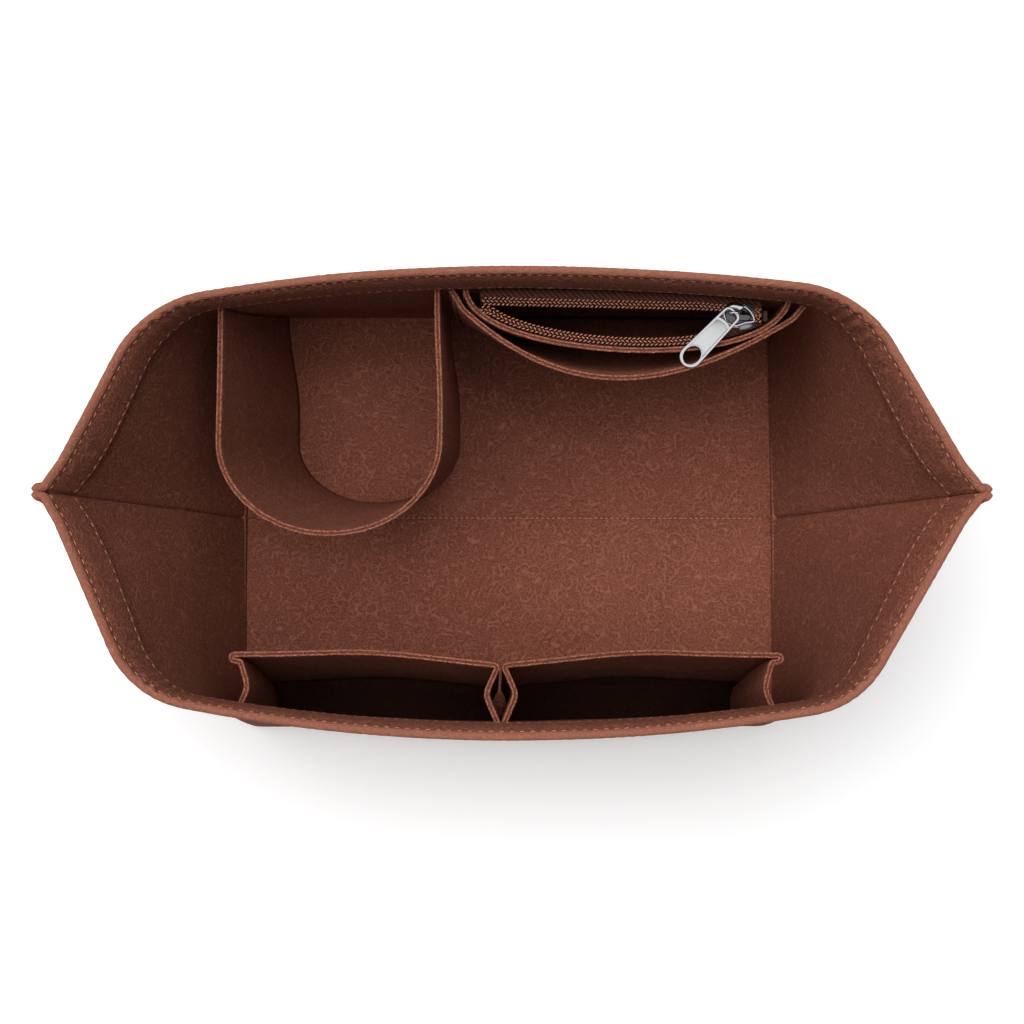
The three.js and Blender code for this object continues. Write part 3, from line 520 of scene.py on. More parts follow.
print("body panels")
body = {
    "fin": 2.6,
    "seamTurn": 1.8,
    "baseWidth": 244.0,
    "baseDepth": 190.0,
    "height": 140.0,
    "baseCorner": 7.0,
    "tipReach": 182.4,
    "rimFlare": 1.2,
    "wallBow": 4.0,
    "bowEnds": 0.85,
    "seamStarts": 0.93,
    "seamPress": 0.15,
    "rimPress": 0.7,
    "stations": 230,
    "drift": 0.5,
    "driftSize": 48.0,
    "fine": 0.1,
    "fineSize": 2.2,
    "rough": 0.4,
    "roughSize": 0.9,
}
finEnd = {
    "round": 0.2,
    "leastKnob": 0.55,
    "neck": 0.16,
    "neckAt": 0.04,
    "neckReach": 0.09,
    "swell": 0.3,
    "lean": 0.3,
    "droop": 1.2,
}
hem = {
    "depth": 18.0,
    "slit": 0.3,
    "step": 1.6,
    "pressed": 1.5,
    "upperStitch": 136.9,
    "lowerStitch": 123.2,
    "pucker": 0.06,
    "gather": 0.45,
    "gatherAt": 138.0,
    "gatherReach": 13.0,
    "gatherPitch": 1.25,
    "rollFrom": 133.0,
    "rollTo": 137.0,
}
rims = {
    "back": {"side": 1, "reach": 88.3, "corner": 48.6,
             "left": {"slope": 63.2, "sweep": 9.9}, "right": {"slope": 60.2, "sweep": 6.3}},
    "front": {"side": -1, "reach": 94.9, "corner": 40.0,
              "left": {"slope": 66.1, "sweep": 11.3}, "right": {"slope": 59.3, "sweep": 9.6}},
}
hemZ = body["height"] - hem["depth"]


# A line of straight runs and arcs, each (length, turn), at shares of its whole length
def walkOutline(startY, runs, share):
    total = sum(run[0] for run in runs)
    left = np.asarray(share, float) * total
    heading = np.zeros_like(left)
    x = np.zeros_like(left)
    y = np.full_like(left, startY)
    for length, turn in runs:
        part = np.clip(left, 0, length)
        bend = turn * part / length
        chord = part * np.sinc(bend / 2 / np.pi)
        x = x + chord * np.cos(heading + bend / 2)
        y = y - chord * np.sin(heading + bend / 2)
        heading = heading + bend
        left = left - part
    return x, y, heading


def baseRuns():
    halfWidth = body["baseWidth"] / 2 + half
    halfDepth = body["baseDepth"] / 2 + half
    corner, turn = body["baseCorner"], body["seamTurn"]
    return halfDepth, [
        (halfWidth - corner, 0.0), (corner * math.pi / 2, math.pi / 2),
        (halfDepth - corner - turn, 0.0), (turn * math.pi / 2, -math.pi / 2)]


def rimRuns(rim, end):
    sweep, slope = math.radians(rim[end]["sweep"]), math.radians(rim[end]["slope"])
    corner, reach = rim["corner"], rim["reach"]
    flareX = body["rimFlare"] * math.sin(slope)
    flareY = body["rimFlare"] * (1 - math.cos(slope))
    cornerX = corner * (math.sin(slope) - math.sin(sweep))
    cornerY = corner * (math.cos(sweep) - math.cos(slope))
    fullX = body["tipReach"] - flareX - cornerX
    rise = math.tan(sweep / 2)
    slant = (reach - flareY - cornerY - fullX * rise) / (math.sin(slope) - rise * math.cos(slope))
    sideRadius = (fullX - slant * math.cos(slope)) / math.sin(sweep)
    return reach, [
        (sideRadius * sweep, sweep), (corner * (slope - sweep), slope - sweep),
        (slant, 0.0), (body["rimFlare"] * slope, -slope)]


panels = {
    which: {"side": rim["side"], "rims": {-1: rimRuns(rim, "left"), 1: rimRuns(rim, "right")}}
    for which, rim in rims.items()}


# Middle of the wall's felt at stations of one half, at one height
def wallLine(panel, sign, along, fin, z):
    baseX, baseY, baseHeading = walkOutline(*baseRuns(), along)
    rimX, rimY, rimHeading = walkOutline(*panel["rims"][sign], along)
    rise = z / body["height"]
    heading = mix(baseHeading, rimHeading, rise)
    # Widest at two thirds of the height, where 6.75 * rise squared * (1 - rise) is 1
    bow = body["wallBow"] * 6.75 * rise * rise * (1 - rise) * (1 - smooth(along, body["bowEnds"], 1))
    seamShift = half + smooth(z, hemZ - hem["step"], hemZ) * (feltThick + hem["slit"])
    seamShift -= body["seamPress"] + body["rimPress"] * smooth(z, hem["rollFrom"], 138.3)
    x = mix(baseX, rimX, rise) - bow * np.sin(heading) + fin * body["fin"]
    y = mix(baseY, rimY, rise) - bow * np.cos(heading) + seamShift * smooth(along, body["seamStarts"], 1)
    return np.stack([sign * x, panel["side"] * y, np.full_like(x, z)], -1), heading


stationsAlong = np.unique(np.concatenate([
    np.linspace(0, 0.94, body["stations"]), np.linspace(0.94, 1, 26)]))
finPart = np.array([0.05, 0.18, 0.34, 0.5, 0.66, 0.8, 0.9, 0.97, 1.0])
halfAlong = np.concatenate([stationsAlong, np.ones(len(finPart))])
halfFin = np.concatenate([np.zeros(len(stationsAlong)), finPart])


# From the middle of a panel to both its ends, left to right
def bothWays(left, right):
    return np.concatenate([left[:0:-1], right])


def wholeLine(panel, z):
    return bothWays(*(wallLine(panel, sign, halfAlong, halfFin, z)[0] for sign in (-1, 1)))


# Y at x and z of a surface some way inside the wall
def faceY(panel, x, z, inside=0.0):
    x = np.atleast_1d(np.asarray(x, float))
    y = np.zeros_like(x)
    for sign, pick in ((-1, x < 0), (1, x >= 0)):
        if not pick.any():
            continue
        line, heading = wallLine(panel, sign, stationsAlong, np.zeros_like(stationsAlong), z)
        outward = np.abs(line[:, 0])
        upTo = int(np.argmax(outward > 150)) or len(outward)
        middle = np.interp(np.abs(x[pick]), outward[:upTo], line[:upTo, 1])
        slope = np.interp(np.abs(x[pick]), outward[:upTo], heading[:upTo])
        y[pick] = middle - panel["side"] * (half + inside) / np.cos(slope)
    return y


# The wall's section: up the outside, round the hem's fold, round its cut edge and down the inside.
# Each row is a height, a distance from the felt's middle, and 1 for the cut edge's paler colour: on the cut
# edge, and as painted highlight lines on two thin bands of the inner face above it.
def hemSection():
    slit, upper, lower = hem["slit"], hem["upperStitch"], hem["lowerStitch"]
    radius = hem["pressed"] + slit / 2
    foldZ = body["height"] - radius
    middle = -half - slit / 2
    fold = middle - radius
    edge = middle - slit / 2
    inner = edge - feltThick
    wall = (3, 8, 14, 20, 28, 38, 50, 62, 74, 86, 96, 104, 110, 113, 116.5, 119.5)
    rows = [(0.0, half - 0.7, 0), (0.2, half - 0.2, 0), (0.8, half, 0)]
    rows += [(z, half, 0) for z in wall]
    rows += [(z, half + out, 0) for z, out in (
        (122.2, -0.1), (123, -0.3), (123.8, -0.1), (126.5, 0.05), (131, 0.05), (134, -0.05), (136.1, -0.5),
        (upper, -0.8), (137.7, -0.65))]
    rows += [(foldZ + radius * math.sin(turn), middle + radius * math.cos(turn), 0)
             for turn in np.linspace(0, math.pi, 13)]
    rows += [(137.7, fold + 0.15, 0), (upper, fold + 0.35, 0), (136.1, fold - 0.05, 0)]
    rows += [(z, inner + out, cut) for z, out, cut in (
        (134, 0, 0), (131, -0.05, 0), (126.5, -0.05, 0), (124.4, -0.05, 0), (124.1, 0, 1),
        (123.7, 0.02, 1), (lower, 0.3, 0), (122.8, 0.1, 0), (122.6, 0.02, 1), (122.2, 0.1, 1),
        (122.0, 0.5, 1), (121.95, 1.2, 1))]
    rows += [(122.0, edge - 0.2, 1), (122.4, edge, 0), (foldZ, edge, 0), (foldZ + slit / 2, middle, 0)]
    rows += [(z, -half, 0) for z in (foldZ, 129, 122, *reversed(wall))]
    return rows + [(0.2, 0.2 - half, 0), (0.0, 0.7 - half, 0)]


def bodyPanel(which):
    panel = panels[which]
    section = hemSection()
    lines = {z: wholeLine(panel, z) for z in {row[0] for row in section}}
    rimLine = lines[max(lines)]
    outer = np.abs(rimLine[:, 0])
    gathered = hem["gather"] * np.exp(-((outer - hem["gatherAt"]) / hem["gatherReach"]) ** 2)
    gathered = gathered * np.sin(outer * hem["gatherPitch"])
    stitchPhase = 2 * np.pi * runAlong(rimLine) / stitchLook["step"]
    fin = bothWays(halfFin, halfFin)
    onFin = fin > 0
    calm = 1 - smooth(bothWays(halfAlong, halfAlong), 0.9, 0.985)
    # The end of each fin is round, with a knob where the roll ends
    start = finEnd["round"]
    knob = np.clip(1 - np.clip((fin - start) / (1 - start), 0, 1) ** 4, 0, 1) ** 0.25
    knob = np.where(fin > start, np.maximum(knob, finEnd["leastKnob"]), 1)
    neck = finEnd["neck"] * np.exp(-((fin - finEnd["neckAt"]) / finEnd["neckReach"]) ** 2)
    knob = knob * (1 - neck * onFin)
    swell = finEnd["swell"] * np.sin(np.pi * np.clip(fin / 0.9, 0, 1)) * onFin
    loops = []
    for z, offset, _ in section:
        line = lines[z]
        normal = levelNormals(line[:, None])[:, 0]
        rolled = smooth(z, hem["rollFrom"], hem["rollTo"])
        puckers = hem["pucker"] * rolled * np.sin(stitchPhase + 0.5 * (offset + z))
        puckers = puckers * (0.6 + tint(line, 9, 8.0))
        centre = -half - hem["slit"] / 2 if z > hemZ - 8 else 0.0
        offset = centre - finEnd["lean"] * rolled * fin + (offset - centre) * knob * (1 + rolled * swell)
        drift = body["drift"] * tint(line, body["driftSize"], 2.0) * calm
        drift = drift * smooth(z, 10, 60) * (1 - 0.7 * smooth(z, 112, 122))
        fine = body["fine"] * tint(line + normal * offset[:, None], body["fineSize"], 4.0)
        fine = fine * (0.4 + 0.6 * calm)
        gathers = gathered * smooth(z, 116, 126) * np.where(offset < -2.5, 1, 0.1)
        line = line - upward * (rolled * finEnd["droop"] * (1 - knob))[:, None]
        loops.append(line + panel["side"] * normal * (offset + drift + fine + gathers + puckers)[:, None])
    loops = np.stack(loops, 1)
    rough = body["rough"] * tint(loops.reshape(-1, 3), body["roughSize"], 9.0).reshape(loops.shape[:2])
    marks = []
    # Faces between two marked rows take the cut edge's colour, which on the inner face above the edge is a
    # painted highlight
    for k, (z, _, cut) in enumerate(section):
        marks.append(1 if cut and section[(k + 1) % len(section)][2] else 0)
        if cut and z < 122.1:
            loops[:, k, 2] += rough[:, k]
    return loops, loopSkin(loops, marks)


base = {"inset": 0.2, "seamDip": 0.7, "seamReach": 0.7, "sideDip": 0.45, "sideReach": 0.8, "wave": 0.12,
        "waveSize": 30.0, "fine": 0.06, "fineSize": 1.8}


# One half of the base, with soft edges at its seams
def baseFlap(side):
    reachX = body["baseWidth"] / 2 + half - base["inset"]
    reachY = body["baseDepth"] / 2 + half - base["inset"]
    xs = np.concatenate([[-reachX, 0.35 - reachX], np.linspace(1.2 - reachX, reachX - 1.2, 150),
                         [reachX - 0.35, reachX]])
    ys = np.concatenate([[0, 0.3, 0.8], np.linspace(2, reachY - 1.2, 60), [reachY - 0.35, reachY]])
    gridX, gridY = np.meshgrid(xs, ys, indexing="ij")
    corner = body["baseCorner"]
    overX = np.clip(np.abs(gridX) - (reachX - corner), 0, None)
    overY = np.clip(gridY - (reachY - corner), 0, None)
    shrink = corner / np.maximum(np.hypot(overX, overY), corner)
    gridX = np.where(shrink < 1, np.sign(gridX) * (reachX - corner + overX * shrink), gridX)
    gridY = np.where(shrink < 1, reachY - corner + overY * shrink, gridY)
    seamDip = base["seamDip"] * np.exp(-(np.minimum(gridY, 3.0) / base["seamReach"]) ** 2)
    sideDip = base["sideDip"] * np.exp(-((reachX - np.abs(gridX)) / base["sideReach"]) ** 2)
    lower = np.stack([gridX, side * gridY, np.zeros_like(gridX)], -1).reshape(-1, 3)
    waves = base["wave"] * tint(lower, base["waveSize"], 1.0)
    waves = waves + base["fine"] * tint(lower, base["fineSize"], 6.0)
    upper = lower + np.outer(feltThick - (seamDip + sideDip).ravel() + waves, upward)
    under = gridX.size
    index = np.arange(under).reshape(gridX.shape)
    quads = np.stack([index[:-1, :-1], index[1:, :-1], index[1:, 1:], index[:-1, 1:]], -1).reshape(-1, 4)
    ring = np.concatenate([index[:, 0], index[-1, 1:], index[-2::-1, -1], index[0, -2:0:-1]])
    after = np.roll(ring, -1)
    walls = np.stack([ring, ring + under, after + under, after], 1)
    faces = np.concatenate([quads, quads[:, ::-1] + under, walls])
    return np.concatenate([upper, lower]), (faces if side > 0 else faces[:, ::-1]).tolist()


cornerFin = {"reach": 4.0, "short": 16.0, "bevel": 0.3, "rough": 0.25, "layers": ((0.0, 2.05), (2.35, 4.4))}


# The seam allowance at a boxed corner, a double edge of felt along the floor
def cornerFins(side):
    inner = body["baseWidth"] / 2 + half
    bevel = cornerFin["bevel"]
    length = body["baseDepth"] / 2 - body["baseCorner"] - cornerFin["short"]
    skins = []
    for sign in (-1, 1):
        for low, high in cornerFin["layers"]:
            loops = []
            for y in np.linspace(0, length, 90):
                tip = inner + half + cornerFin["reach"]
                tip += cornerFin["rough"] * noise.noise(Vector((y / 2.0, low, sign * 3.0)))
                outline = ((inner, low), (tip - bevel, low), (tip, low + bevel), (tip, high - bevel),
                           (tip - bevel, high), (inner, high))
                loops.append([(sign * x, side * y, z) for x, z in outline])
            skins.append(loopSkin(np.array(loops)))
    return gather(skins)


stitchSkins = []
for which in ("front", "back"):
    loops, wall = bodyPanel(which)
    side = panels[which]["side"]
    flap = baseFlap(side)
    fins = cornerFins(side)
    points, faces = gather([wall, flap, fins])
    slots = list(wall[2]) + [0] * len(flap[1]) + [1] * len(fins[1])
    addPiece(which + "_body_felt", points, faces, [felt, feltEdge], slots, replaces=[which + "_body_panel"])
    section = hemSection()
    for z, offset in (
            (hem["upperStitch"], -2.6), (hem["lowerStitch"], -3.4), (hem["upperStitch"], half), (123, half)):
        row = min(range(len(section)), key=lambda k: abs(section[k][0] - z) + abs(section[k][1] - offset))
        path = loops[3:-3, row]
        normal = levelNormals(path[:, None])[:, 0] * side * (1 if offset > 0 else -1)
        stitchSkins.append(stitchRow(path, normal, len(stitchSkins)))

# The faint stitches in the groove of the base seam
baseSeam = {"reach": 119.0, "sink": 0.5, "step": 2.5, "stitch": 1.6}
x = np.linspace(-baseSeam["reach"], baseSeam["reach"], 80)
path = atHeight(x, np.zeros_like(x), feltThick - baseSeam["sink"])
path[:, 2] += base["wave"] * tint(path, base["waveSize"], 1.0)
stitchSkins.append(stitchRow(path, np.tile(upward, (len(x), 1)), 60, baseSeam["step"], baseSeam["stitch"]))

print("pockets")
pocketTop = hemZ - 4.0
pocketBottom = 18.0
sewnGap, wallGap = 0.3, 0.5
bottle = {
    "top": {"leftFoot": -117.2, "left": -117.2, "right": -29.2, "rightFoot": -30.5, "front": -14.7,
            "nose": 37.0},
    "base": {"leftFoot": -105.0, "left": -99.5, "right": -24.2, "rightFoot": -29.0, "front": 6.0,
             "nose": 30.0},
}


def bottleLine(z):
    rise = (z - feltThick) / (pocketTop - feltThick)
    size = {key: mix(bottle["base"][key], bottle["top"][key], rise) for key in bottle["top"]}
    leftY, rightY = (faceY(panels["back"], [size[key] - half, size[key] + half], z).min() - wallGap
                     for key in ("leftFoot", "rightFoot"))
    middle = (size["left"] + size["right"]) / 2
    halfWidth = (size["right"] - size["left"]) / 2
    noseY = size["front"] + size["nose"]
    down = np.linspace(0, 1, 70)
    angle = np.pi * (1 + np.linspace(0, 1, 190)[1:-1])
    leftX = mix(size["leftFoot"], size["left"], smooth(down, 0, 0.8))
    rightX = mix(size["right"], size["rightFoot"], smooth(down, 0.2, 1))
    nose = np.stack([middle + halfWidth * np.cos(angle), noseY + size["nose"] * np.sin(angle)], 1)
    line = np.concatenate([
        np.stack([leftX, mix(leftY, noseY, down)], 1), nose, np.stack([rightX, mix(noseY, rightY, down)], 1)])
    return np.column_stack([line, np.full(len(line), z)])


heights = np.concatenate([[feltThick + sewnGap, 8], np.linspace(18, pocketTop - 3, 12), [pocketTop]])
grid = np.stack([bottleLine(z) for z in heights], 1)
grid += levelNormals(grid) * (0.35 * tint(grid.reshape(-1, 3), 40, 3.0)).reshape(grid.shape[:2])[..., None]
feltSheet("bottle_pocket_felt", grid, ["bottle_pocket_wall"], 11.0)

zipPocket = {"left": -19.0, "right": 111.0, "lead": 2.7, "lag": 12.2, "pullLeft": 29.5, "pullRight": 33.723}
slipPocket = {"left": -25.0, "right": 117.5, "lead": 39.0, "lag": 59.7, "pullLeft": 41.0, "pullRight": 44.969}


# A pocket that stands out from the back wall, as a curve of four control points at each height
def patchLine(size, cover, part, z):
    rest = 1 - part
    near, far = 3 * part * rest * rest, 3 * part * part * rest
    x = size["left"] * (rest ** 3 + near) + size["right"] * (part ** 3 + far)
    x = x + size["lead"] * near - size["lag"] * far
    opened = ((z - pocketBottom) / (pocketTop - pocketBottom)) ** 0.8
    out = opened * (size["pullLeft"] * near + size["pullRight"] * far)
    y = faceY(panels["back"], x, z, wallGap + half) - cover(x) - out
    return atHeight(x, y, z)


# The slip pocket lies over the zip pocket between that one's ends
def slipCover(x):
    onLeft = smooth(x, slipPocket["left"], zipPocket["left"] - 0.5)
    onRight = 1 - smooth(x, zipPocket["right"] + 1, slipPocket["right"] + 1)
    return (feltThick + sewnGap + wallGap) * np.minimum(onLeft, onRight)


def noCover(x):
    return np.zeros_like(x)


patches = (
    ("zip_pocket_felt", zipPocket, noCover, "zip_pocket_panel", 21.0),
    ("slip_pocket_felt", slipPocket, slipCover, "slip_pocket_panel", 31.0),
)
patchFelts = []
for name, size, cover, nodeName, seed in patches:
    levels = np.concatenate([np.linspace(pocketBottom, pocketTop - 3, 14), [pocketTop]])
    grid = np.stack([patchLine(size, cover, np.linspace(0, 1, 260), z) for z in levels], 1)
    patchFelts.append(feltSheet(name, grid, [nodeName], seed))
    faceOut = levelNormals(grid) * -1
    face = grid + faceOut * (half + 0.02)
    for station in (4, -5):
        path = resample(face[station], 2)
        stitchSkins.append(stitchRow(path, np.repeat(faceOut[station][:1], len(path), 0), 40))
    stitchSkins.append(stitchRow(face[4:-4, 0] + upward * 2.5, faceOut[4:-4, 0], 41))
zipFelt = patchFelts[0]

frontPockets = {
    "left": -107.5, "right": 102.5, "divider": -4.8, "depth": 25.5, "baseDepth": 18.0, "bulge": 5.0,
    "wave": 3.0, "crown": 3.8, "dividerDrop": 1.4, "straight": 0.64, "earReach": 3.6, "earTurn": 1.45,
}


# Corner points (x, y, radius) joined by lines and arcs
def roundedPath(corners, arcSteps):
    points = [np.array(corners[0][:2], float)]
    for k in range(1, len(corners) - 1):
        before, corner, after = (np.array(corners[k + d][:2], float) for d in (-1, 0, 1))
        arrive, leave = unit(corner - before), unit(after - corner)
        turn = math.atan2(arrive[0] * leave[1] - arrive[1] * leave[0], arrive.dot(leave))
        radius = corners[k][2]
        start = corner - arrive * radius * math.tan(abs(turn) / 2)
        centre = start + np.array([-arrive[1], arrive[0]]) * math.copysign(radius, turn)
        offset = start - centre
        for part in np.linspace(0, 1, arcSteps):
            c, s = math.cos(turn * part), math.sin(turn * part)
            points.append(centre + np.array([c * offset[0] - s * offset[1], s * offset[0] + c * offset[1]]))
    points.append(np.array(corners[-1][:2], float))
    return np.array(points)


# Plan of one front pocket: gusset, folded ear, front, divider's edge, and back to the wall
def frontPath(width, depth):
    scale = depth / frontPockets["depth"]
    reach, turn = frontPockets["earReach"], frontPockets["earTurn"]
    earLow = depth - 2 * turn - 0.2
    footGap = wallGap + 0.4 * half
    return roundedPath([
        (0, footGap), (frontPockets["wave"] * scale, 0.42 * depth, 12), (0, earLow, turn),
        (-reach, earLow, turn), (-reach, depth, turn), (0.5 * width, depth + frontPockets["crown"], 200),
        (width + 0.1, depth - frontPockets["dividerDrop"], 1.3),
        (width - frontPockets["bulge"] * scale, 0.5 * depth, 6), (width, footGap)], 9)


def frontLine(outerX, innerX, towards, counts, z):
    rise = (z - pocketBottom) / (pocketTop - pocketBottom)
    depth = mix(frontPockets["baseDepth"], frontPockets["depth"], rise)
    path = frontPath(abs(innerX - outerX), depth)
    runs = [start + (end - start) * np.linspace(0, 1, count, endpoint=False)[:, None]
            for start, end, count in zip(path[:-1], path[1:], counts)]
    flat = np.concatenate(runs + [path[-1:]])
    x = outerX + towards * flat[:, 0]
    wall = faceY(panels["front"], x, z)
    # The panel runs straighter than the wall behind it
    excess = frontPockets["straight"] * (wall - faceY(panels["front"], [innerX], z)) / depth
    return atHeight(x, wall + flat[:, 1] * (1 - excess), z)


for name, outerX, towards in (("left", frontPockets["left"], 1), ("right", frontPockets["right"], -1)):
    innerX = frontPockets["divider"] - towards * half
    steps = np.linalg.norm(np.diff(frontPath(abs(innerX - outerX), frontPockets["depth"]), axis=0), axis=1)
    counts = [max(1, int(step / 0.8)) for step in steps]
    levels = np.concatenate([np.linspace(pocketBottom, pocketTop - 3, 12), [pocketTop]])
    grid = np.stack([frontLine(outerX, innerX, towards, counts, z) for z in levels], 1)
    feltSheet("front_pocket_felt_" + name, grid, ["front_pocket_" + name], 50.0 + outerX / 10)
    # Its bottom fills the lowest outline, in felt painted near-black as painted shade
    outline = grid[:, 0]
    count = len(outline)
    ring = np.arange(count)
    after = np.roll(ring, -1)
    faces = [ring[::-1].tolist(), (ring + count).tolist()]
    faces += np.stack([ring, after, after + count, ring + count], 1).tolist()
    if towards > 0:
        faces = [list(reversed(face)) for face in faces]
    points = np.concatenate([outline, outline + upward * feltThick])
    addPiece("front_pocket_bottom_" + name, points, faces, [shadedPocketBottom])

print("zip")
zipper = {
    "angle": 1.2, "chainY": 73.382, "below": 5.0, "right": 99.4, "length": 112.5, "pitch": 1.5, "width": 3.2,
    "openWidth": 3.7, "curlLength": 8.0, "height": 2.2, "wire": 0.62, "closed": 1.4, "atMouth": 2.9,
    "apart": 3.3, "turn": 10.0, "sliderX": 90.5, "sliderLength": 13.0, "curlSteps": 14,
}
beads = {"spacing": 1.75, "lanes": ((-0.76, 0.0, 0.4, 0.02), (0.0, 0.5, -0.4, 0.12), (0.76, 0.0, 0.4, 0.02)),
         "reach": 0.38, "inset": 0.25, "stroke": (-0.95, -0.6, 0.0, 0.6, 0.95), "sag": 0.3,
         "radii": (0.1, 0.24, 0.3, 0.24, 0.1)}
tape = {"thickness": 0.6, "drops": (1, 4, 8, 12.0)}
chainZ = hemZ - zipper["below"]
tapeTop = chainZ - zipper["height"] / 2 - sewnGap - tape["thickness"] / 2
mouthX = zipper["sliderX"] - zipper["sliderLength"] / 2
rowsLeft = zipper["right"] - zipper["length"]


def chainY(x):
    slope = math.tan(math.radians(zipper["angle"]))
    return zipper["chainY"] - (np.asarray(x, float) - zipper["sliderX"]) * slope


# Y at x and z of a surface some way behind the zip pocket's felt
def zipFaceY(x, z, inside):
    low, high = 93.0, 118.0
    values = []
    for level in (low, high):
        line = patchLine(zipPocket, noCover, np.linspace(0, 1, 400), level)
        stretch = np.hypot(1, np.gradient(line[:, 1], line[:, 0]))
        values.append(np.interp(x, line[:, 0], line[:, 1] + (half + inside) * stretch))
    return mix(values[0], values[1], (z - low) / (high - low))


def rowLine(row, x):
    closing = smooth(x, mouthX, zipper["sliderX"] + zipper["sliderLength"] / 4)
    inSlider = chainY(x) + row * mix(zipper["atMouth"], zipper["closed"], closing)
    apart = 1 - smooth(x, mouthX - zipper["turn"], mouthX)
    if row > 0:
        opened = chainY(x) + zipper["apart"]
    else:
        # The front row's end curls back to the other row
        opened = zipFaceY(x, chainZ, zipper["width"] / 2 + wallGap)
        beside = chainY(x) + zipper["apart"] - zipper["openWidth"]
        opened = mix(opened, beside, 1 - smooth(x, rowsLeft, rowsLeft + zipper["curlLength"]))
    return mix(inSlider, opened, apart)


# One row: the coiled wire, painted dark as painted shade, and the three lanes of paler stitches over it that
# look like beads, painted highlights
def zipRow(row, name, nodeName):
    dense = np.linspace(zipper["right"], rowsLeft - (0.6 if row < 0 else 3), 900)
    path = atHeight(dense, rowLine(row, dense), chainZ)
    steps = zipper["curlSteps"]
    length = zipper["length"] + (zipper["curlLength"] if row < 0 else 0)
    line = resample(path, zipper["pitch"] / steps)[:int(length / zipper["pitch"]) * steps + 1]
    heading = unit(np.gradient(line, axis=0))
    side = np.stack([-heading[:, 1], heading[:, 0], np.zeros(len(line))], 1)
    angle = 2 * np.pi * np.arange(len(line)) / steps
    # Wider where the zip is open
    width = mix(zipper["openWidth"], zipper["width"], smooth(line[:, 0], mouthX - zipper["turn"], mouthX - 1))
    across = (width - zipper["wire"]) / 2 * np.cos(angle)
    rise = (zipper["height"] - zipper["wire"]) / 2 * np.sin(angle)
    wire = line + side * across[:, None] + upward * rise[:, None]
    skins = [loopSkin(tubeLoops(wire, np.full(len(wire), zipper["wire"] / 2), 6))]
    spacing = beads["spacing"] * steps / zipper["pitch"]
    for lane, lag, slant, lift in beads["lanes"]:
        for at in np.linspace(0, len(line) - 1, int(len(line) / spacing))[:-1]:
            k = min(int(at + lag * spacing), len(line) - 1)
            ahead = heading[k] * beads["spacing"] * beads["reach"] + side[k] * slant
            centre = line[k] + side[k] * lane * (width[k] / 2 - beads["inset"])
            centre = centre + upward * (zipper["height"] / 2 + lift)
            stroke = [centre + ahead * s - upward * beads["sag"] * s * s for s in beads["stroke"]]
            skins.append(loopSkin(tubeLoops(stroke, beads["radii"], 6)))
    points, faces = gather(skins)
    slots = slotsOf(skins, [0] + [1] * (len(skins) - 1))
    return addPiece(name, points, faces, [shadedNylon, beadHighlights], slots, replaces=[nodeName])


# The tape runs from under its row to the felt and down along it
def zipTape(row, name, nodeName, sewnY):
    x = np.linspace(zipper["right"] + 1, rowsLeft, 160)
    rows = [atHeight(x, mix(rowLine(row, x), sewnY(x, tapeTop), share), tapeTop) for share in (0, 0.5, 0.9)]
    rows += [atHeight(x, sewnY(x, tapeTop - drop), tapeTop - drop) for drop in tape["drops"]]
    grid = np.stack(rows, 1)
    along, down = np.gradient(grid, axis=0), np.gradient(grid, axis=1)
    thin = unit(np.cross(down, along)) * tape["thickness"] / 2
    loops = np.concatenate([grid + thin, (grid - thin)[:, ::-1]], 1)
    points, faces, _ = loopSkin(loops, None, ladder(loops.shape[1]))
    return addPiece(name, points, faces, [tapeWeave], replaces=[nodeName])


tapeGap = wallGap + tape["thickness"] / 2
zipRow(1, "zip_row_back", "zip_coil_back")
frontRow = zipRow(-1, "zip_row_front", "zip_coil_front")
zipTape(1, "zip_tape_cloth_back", "zip_tape_back", lambda x, z: faceY(panels["back"], x, z, tapeGap))
frontTape = zipTape(-1, "zip_tape_cloth_front", "zip_tape_front", lambda x, z: zipFaceY(x, z, tapeGap))
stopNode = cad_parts["zip_bottom_stop"]
stopNode.data.materials.clear()
stopNode.data.materials.append(shadedNylon)

